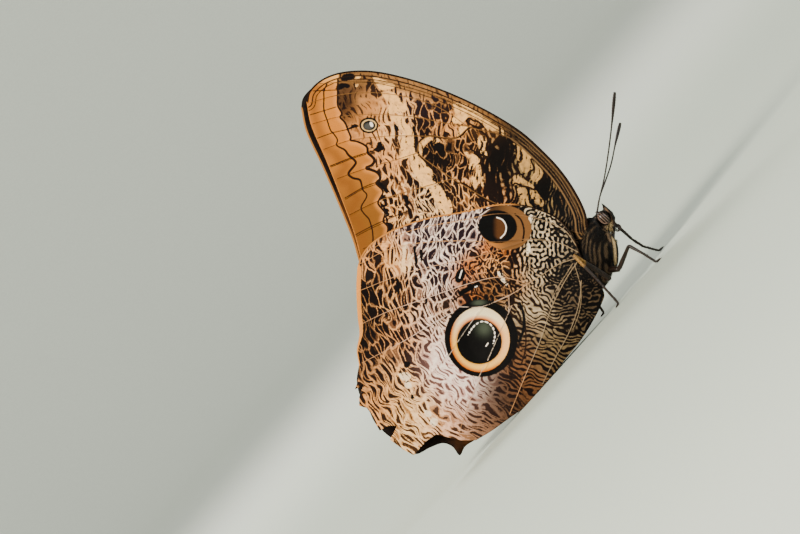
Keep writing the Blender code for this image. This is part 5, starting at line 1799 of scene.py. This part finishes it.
# %% [markdown]
# ## Walking legs
#
# Middle and hind legs carry the animal: hip, thigh, shin and a foot of several short joints with
# two claws. Thigh and shin bear fine spines, and the shin ends in a pair of spurs. Each joint is a
# rod that swells in its first third, which reads as muscle under the shell. The joints follow the
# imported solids, and the soles end on the floor.

# %% Legs
FOOT_LEVEL = 0.34
# Each leg: its joints in the drawing's mm, then heel and toe as places on the floor
LEGS = {
    "leg_mid_right": ([(4.8, -2.0, -8.6), (6.9, -5.2, -8.4), (8.9, -9.4, -3.0), (12.0, -10.8, -4.7)],
                      (24.1, -11.7), (25.3, -12.0)),
    "leg_mid_left": ([(4.6, 2.0, -7.4), (5.8, 4.6, -5.6), (6.3, 7.6, 2.1), (10.7, 9.2, -1.8),
                      (13.4, 10.3, -3.5)], (27.1, 11.6), (28.3, 12.0)),
    "leg_hind_right": ([(4.2, -2.4, -10.6), (4.6, -5.4, -10.4), (-3.6, -8.4, -5.2), (1.6, -9.5, -10.6)],
                       (11.4, -10.3), (10.4, -10.9)),
    "leg_hind_left": ([(4.2, 2.4, -10.6), (4.6, 5.4, -10.4), (-3.9, 8.4, -6.4), (0.4, 9.6, -13.0)],
                      (7.9, 10.3), (6.9, 10.9)),
}
LEG_RADII = [(0.82, 0.66), (0.62, 0.42), (0.42, 0.34), (0.34, 0.3), (0.3, 0.26)]


def spine(root, direction, length, radius):
    root = np.asarray(root, float)
    route = np.array([root, root + direction * length * 0.5, root + direction * length])
    return rod(route, [radius, radius * 0.6, radius * 0.12], 5)


def swollen_rod(start, end, first, last, sides):
    """One joint of a leg: narrow at both ends, fullest in its first third."""
    share = np.linspace(0, 1, 15)
    route = np.outer(1 - share, start) + np.outer(share, end)
    taper = np.interp(share, (0, 1), (first, last))
    form = np.interp(share, (0, 0.06, 0.3, 0.8, 0.96, 1), (0.7, 0.9, 1.0, 0.92, 0.98, 0.75))
    return rod(route, taper * form, sides)


def build_leg(name, joints, heel, toe):
    rng = np.random.default_rng(len(name) + int(heel[0] * 10))
    heel_x, heel_z = floor_to_drawing(heel[0], FOOT_LEVEL)
    toe_x, toe_z = floor_to_drawing(toe[0], 0.2)
    ends = [np.array(joint, float) for joint in joints] + [np.array([heel_x, heel[1], heel_z])]
    parts = []
    for index, (start, end) in enumerate(zip(ends[:-1], ends[1:])):
        first, last = LEG_RADII[index]
        direction = (end - start) / np.linalg.norm(end - start)
        is_foot = index == len(ends) - 2
        if is_foot:
            stops = np.linspace(0, 1, 5)
            for a, b in zip(stops[:-1], stops[1:]):
                parts.append(swollen_rod(start + (end - start) * a, start + (end - start) * b,
                                         first * (1 - 0.1 * a), last, 12))
        else:
            parts.append(swollen_rod(start, end, first, last, 14))
        count = 4 if index == 0 else 14
        for k in range(count):
            share = (k + 0.5) / count
            base = start + (end - start) * share
            side_way = np.cross(direction, rng.normal(0, 1, 3))
            side_way /= np.linalg.norm(side_way)
            lean = side_way * 0.55 + direction
            radius = first + (last - first) * share
            parts.append(spine(base + side_way * radius * 0.75, lean / np.linalg.norm(lean), 0.55, 0.055))
        if index == len(ends) - 3:
            for sign in (-1, 1):
                side_way = np.cross(direction, (0.0, 1.0, 0.0)) * 0.4 + np.array([0.0, sign * 0.5, 0.0])
                lean = direction + side_way * 0.8
                parts.append(spine(end - direction * 0.3, lean / np.linalg.norm(lean), 1.15, 0.085))
    foot = np.array([toe_x, toe[1], toe_z])
    sole = ends[-1]
    parts.append(swollen_rod(sole, foot, 0.3, 0.2, 10))
    along = (foot - sole) / np.linalg.norm(foot - sole)
    for sign in (-1, 1):
        out = foot + along * 0.1 + np.array([0, sign * 0.16, 0])
        tip_x, tip_z = floor_to_drawing(toe[0] + (toe[0] - heel[0]) * 0.22, 0.05)
        tip = np.array([tip_x, toe[1] + (toe[1] - heel[1]) * 0.22 + sign * 0.22, tip_z])
        parts.append(rod(np.array([foot, (out + tip) / 2 + along * 0.05, tip]), [0.09, 0.07, 0.02], 6))
    return parts


for name, (joints, heel, toe) in LEGS.items():
    rods = build_leg(name, joints, heel, toe)
    leg = hard_piece(name.replace("leg_", "jointed_leg_"), rods, LEG_SHELL, name)
    if "hind" in name:
        leg.data.materials.append(KNEE_SHELL)
        placed = in_drawing(mesh_rows(leg))
        for face in leg.data.polygons:
            middle = placed[list(face.vertices)].mean(0)
            if math.dist(middle[[0, 2]], (-3.2, -6.0)) < 2.6:
                face.material_index = 1

# %% [markdown]
# ## Feelers
#
# A butterfly's feeler is a thin chain of rings that ends in a club. Real rings are cut one by one;
# here the radius of one long rod swings gently 44 times, which gives the same beaded edge.

# %% Feelers
ANTENNA_RIGHT = [(2.1, -0.8, 4.3), (2.6, -1.6, 7.6), (3.6, -3.0, 12.2), (4.5, -4.9, 18.4),
                 (5.2, -7.2, 25.3), (5.65, -10.0, 31.8)]
ANTENNA_LEFT = [(2.1, 0.8, 4.3), (2.8, 2.2, 7.8), (4.2, 4.6, 11.4), (5.7, 7.6, 15.4),
                (6.9, 11.2, 20.2), (8.2, 15.0, 24.9)]
FEELER_RINGS = 44


def feeler(route):
    line = smooth_curve(route, 0.16)
    share = np.linspace(0, 1, len(line))
    club = smooth_step((share - 0.68) / 0.24) * (1 - 0.35 * smooth_step((share - 0.95) / 0.05))
    radii = 0.185 + 0.225 * club
    radii = radii * (1 + 0.09 * np.sin(share * FEELER_RINGS * 2 * math.pi))
    radii[:4] = (0.34, 0.36, 0.3, 0.22)
    return rod(line, radii, 12)


for name, route in (("antenna_right", ANTENNA_RIGHT), ("antenna_left", ANTENNA_LEFT)):
    hard_piece(name.replace("antenna", "feeler"), [feeler(route)], FEELER_SHELL, name)

# %% [markdown]
# ## Tongue
#
# At rest the tongue is rolled like a watch spring between the palps. One tapering rod follows a
# spiral, which keeps the turns apart by the same small gap.

# %% Tongue
MOUTH = (4.6, 2.2)
COIL_CENTRE = (6.85, 0.9)
TONGUE_TURNS = 2.6


def tongue():
    """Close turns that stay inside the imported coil, with the stem up to the mouth."""
    steps = 90
    line = [(MOUTH[0], 0.0, MOUTH[1])]
    for step in range(steps):
        share = step / (steps - 1)
        angle = math.radians(125) - 2 * math.pi * TONGUE_TURNS * share
        radius = 0.88 - 0.72 * share
        line.append((COIL_CENTRE[0] + radius * math.cos(angle), 0.0,
                     COIL_CENTRE[1] + radius * math.sin(angle)))
    line = np.vstack([smooth_curve(line[:3], 0.12), np.array(line[3:])])
    share = np.linspace(0, 1, len(line))
    radii = 0.15 - 0.04 * share
    return rod(line, radii, 12)


hard_piece("rolled_tongue", [tongue()], TONGUE_SHELL, "proboscis")
print("tongue:", TONGUE_TURNS, "turns")


# %% [markdown]
# ## Floor and backdrop
#
# The animal stands in the middle of a round sheet of pale paper that curves up into a low wall far
# behind every camera. A real studio hangs such paper from a roll. Here it is a filled circle whose
# rim is extruded up along a quarter circle, so that no edge or horizon shows from any side.

# %% Floor and backdrop
def paper():
    material, tree, shader = blank_material("backdrop paper, pale grey green")
    place = add(tree, "ShaderNodeTexCoord").outputs["Object"]
    away = add(tree, "ShaderNodeVectorMath", {0: place}, operation="LENGTH").outputs["Value"]
    far = add(tree, "ShaderNodeMapRange", {0: away, 1: 0.3, 2: 1.6}, interpolation_type="SMOOTHSTEP")
    sheet = add(tree, "ShaderNodeMix", {0: far.outputs[0], 6: colour("#A4ADA1"), 7: colour("#F0F4EC")},
                data_type="RGBA").outputs[2]
    fill(tree, shader, {"Base Color": grained(tree, sheet, place, 900.0, 3.0, 0.97, 1.02)[0],
                        "Roughness": 0.9})
    return material


FLOOR_RADIUS = 1.85
COVE_RADIUS = 0.45
COVE_STEPS = 14
bpy.ops.object.select_all(action="DESELECT")
bpy.ops.mesh.primitive_circle_add(vertices=128, radius=FLOOR_RADIUS, fill_type="NGON")
backdrop = bpy.context.view_layer.objects.active
backdrop.name = "backdrop"
bpy.ops.object.mode_set(mode="EDIT")
bpy.ops.mesh.select_mode(type="EDGE")
bpy.ops.mesh.select_all(action="DESELECT")
bpy.ops.mesh.select_non_manifold()
radius = FLOOR_RADIUS
height = 0.0
for step in range(COVE_STEPS + 1):
    turn = math.pi / 2 * min(step + 1, COVE_STEPS) / COVE_STEPS
    wider = FLOOR_RADIUS + COVE_RADIUS * math.sin(turn)
    higher = COVE_RADIUS * (1 - math.cos(turn)) + (0.5 if step == COVE_STEPS else 0.0)
    bpy.ops.mesh.extrude_edges_move()
    bpy.ops.transform.resize(value=(wider / radius, wider / radius, 1.0))
    bpy.ops.transform.translate(value=(0.0, 0.0, higher - height))
    radius = wider
    height = higher
bpy.ops.mesh.select_mode(type="VERT")
bpy.ops.object.mode_set(mode="OBJECT")
for face in backdrop.data.polygons[1:]:
    face.use_smooth = True
backdrop.data.materials.append(paper())
print("paper:", round(2 * radius, 2), "m across, wall", round(height, 2), "m high")

# %% [markdown]
# ## Light
#
# Soft daylight comes from high on the left of the camera. A weaker, cooler lamp on the right fills
# the shade, and one behind gives the hair a fine bright rim. The pale sky lights all the rest.

# %% Light
def softbox(name, place, target, size, power, tint):
    lamp = bpy.data.lights.new(name, "AREA")
    lamp.shape = "DISK"
    lamp.size = size
    lamp.energy = power
    lamp.color = linear(tint)
    obj = bpy.data.objects.new(name, lamp)
    obj.location = place
    obj.rotation_euler = (Vector(target) - Vector(place)).to_track_quat("-Z", "Y").to_euler()
    bpy.context.scene.collection.objects.link(obj)
    return obj


softbox("key light", (-0.55, -0.75, 0.75), (0, 0, 0.04), 0.45, 29, "#FFF6E8")
softbox("fill light", (0.8, -0.6, 0.35), (0, 0, 0.04), 0.7, 6, "#EEF4FF")
softbox("rim light", (-0.3, 0.8, 0.75), (0, 0, 0.05), 0.5, 14, "#FFFAF2")
world = bpy.data.worlds.new("sky")
world.use_nodes = True
world.node_tree.nodes["Background"].inputs[0].default_value = colour("#E6EDE6")
world.node_tree.nodes["Background"].inputs[1].default_value = 0.55
bpy.context.scene.world = world

# %% [markdown]
# ## Camera
#
# A long lens looks level at the wings, as in the photograph, and is rolled so that the animal
# climbs steeply in the picture.

# %% Camera
lens = bpy.data.cameras.new("camera")
lens.sensor_width = 36
lens.lens = 300
camera = bpy.data.objects.new("camera", lens)
bpy.context.scene.collection.objects.link(camera)
bpy.context.scene.camera = camera
target = Vector((-0.0157, -0.002, 0.04254))
rise = math.radians(1.5)
direction = Vector((0, -math.cos(rise), math.sin(rise)))
camera.location = target + direction * 1.5238
camera.rotation_mode = "QUATERNION"
camera.rotation_quaternion = (-direction).to_track_quat("-Z", "Y") @ Quaternion((0, 0, 1), -STANCE_TURN)
lens.clip_start = 0.05
lens.clip_end = 10

# %% [markdown]
#
# The box of the imported solids is printed in mm. Hair and claws may reach a little past them,
# wings and legs may not.

# %% Print the box of the imported solids
print("CAD box mm:", [[round(1000 * v, 2) for v in corner] for corner in CAD_BOX])
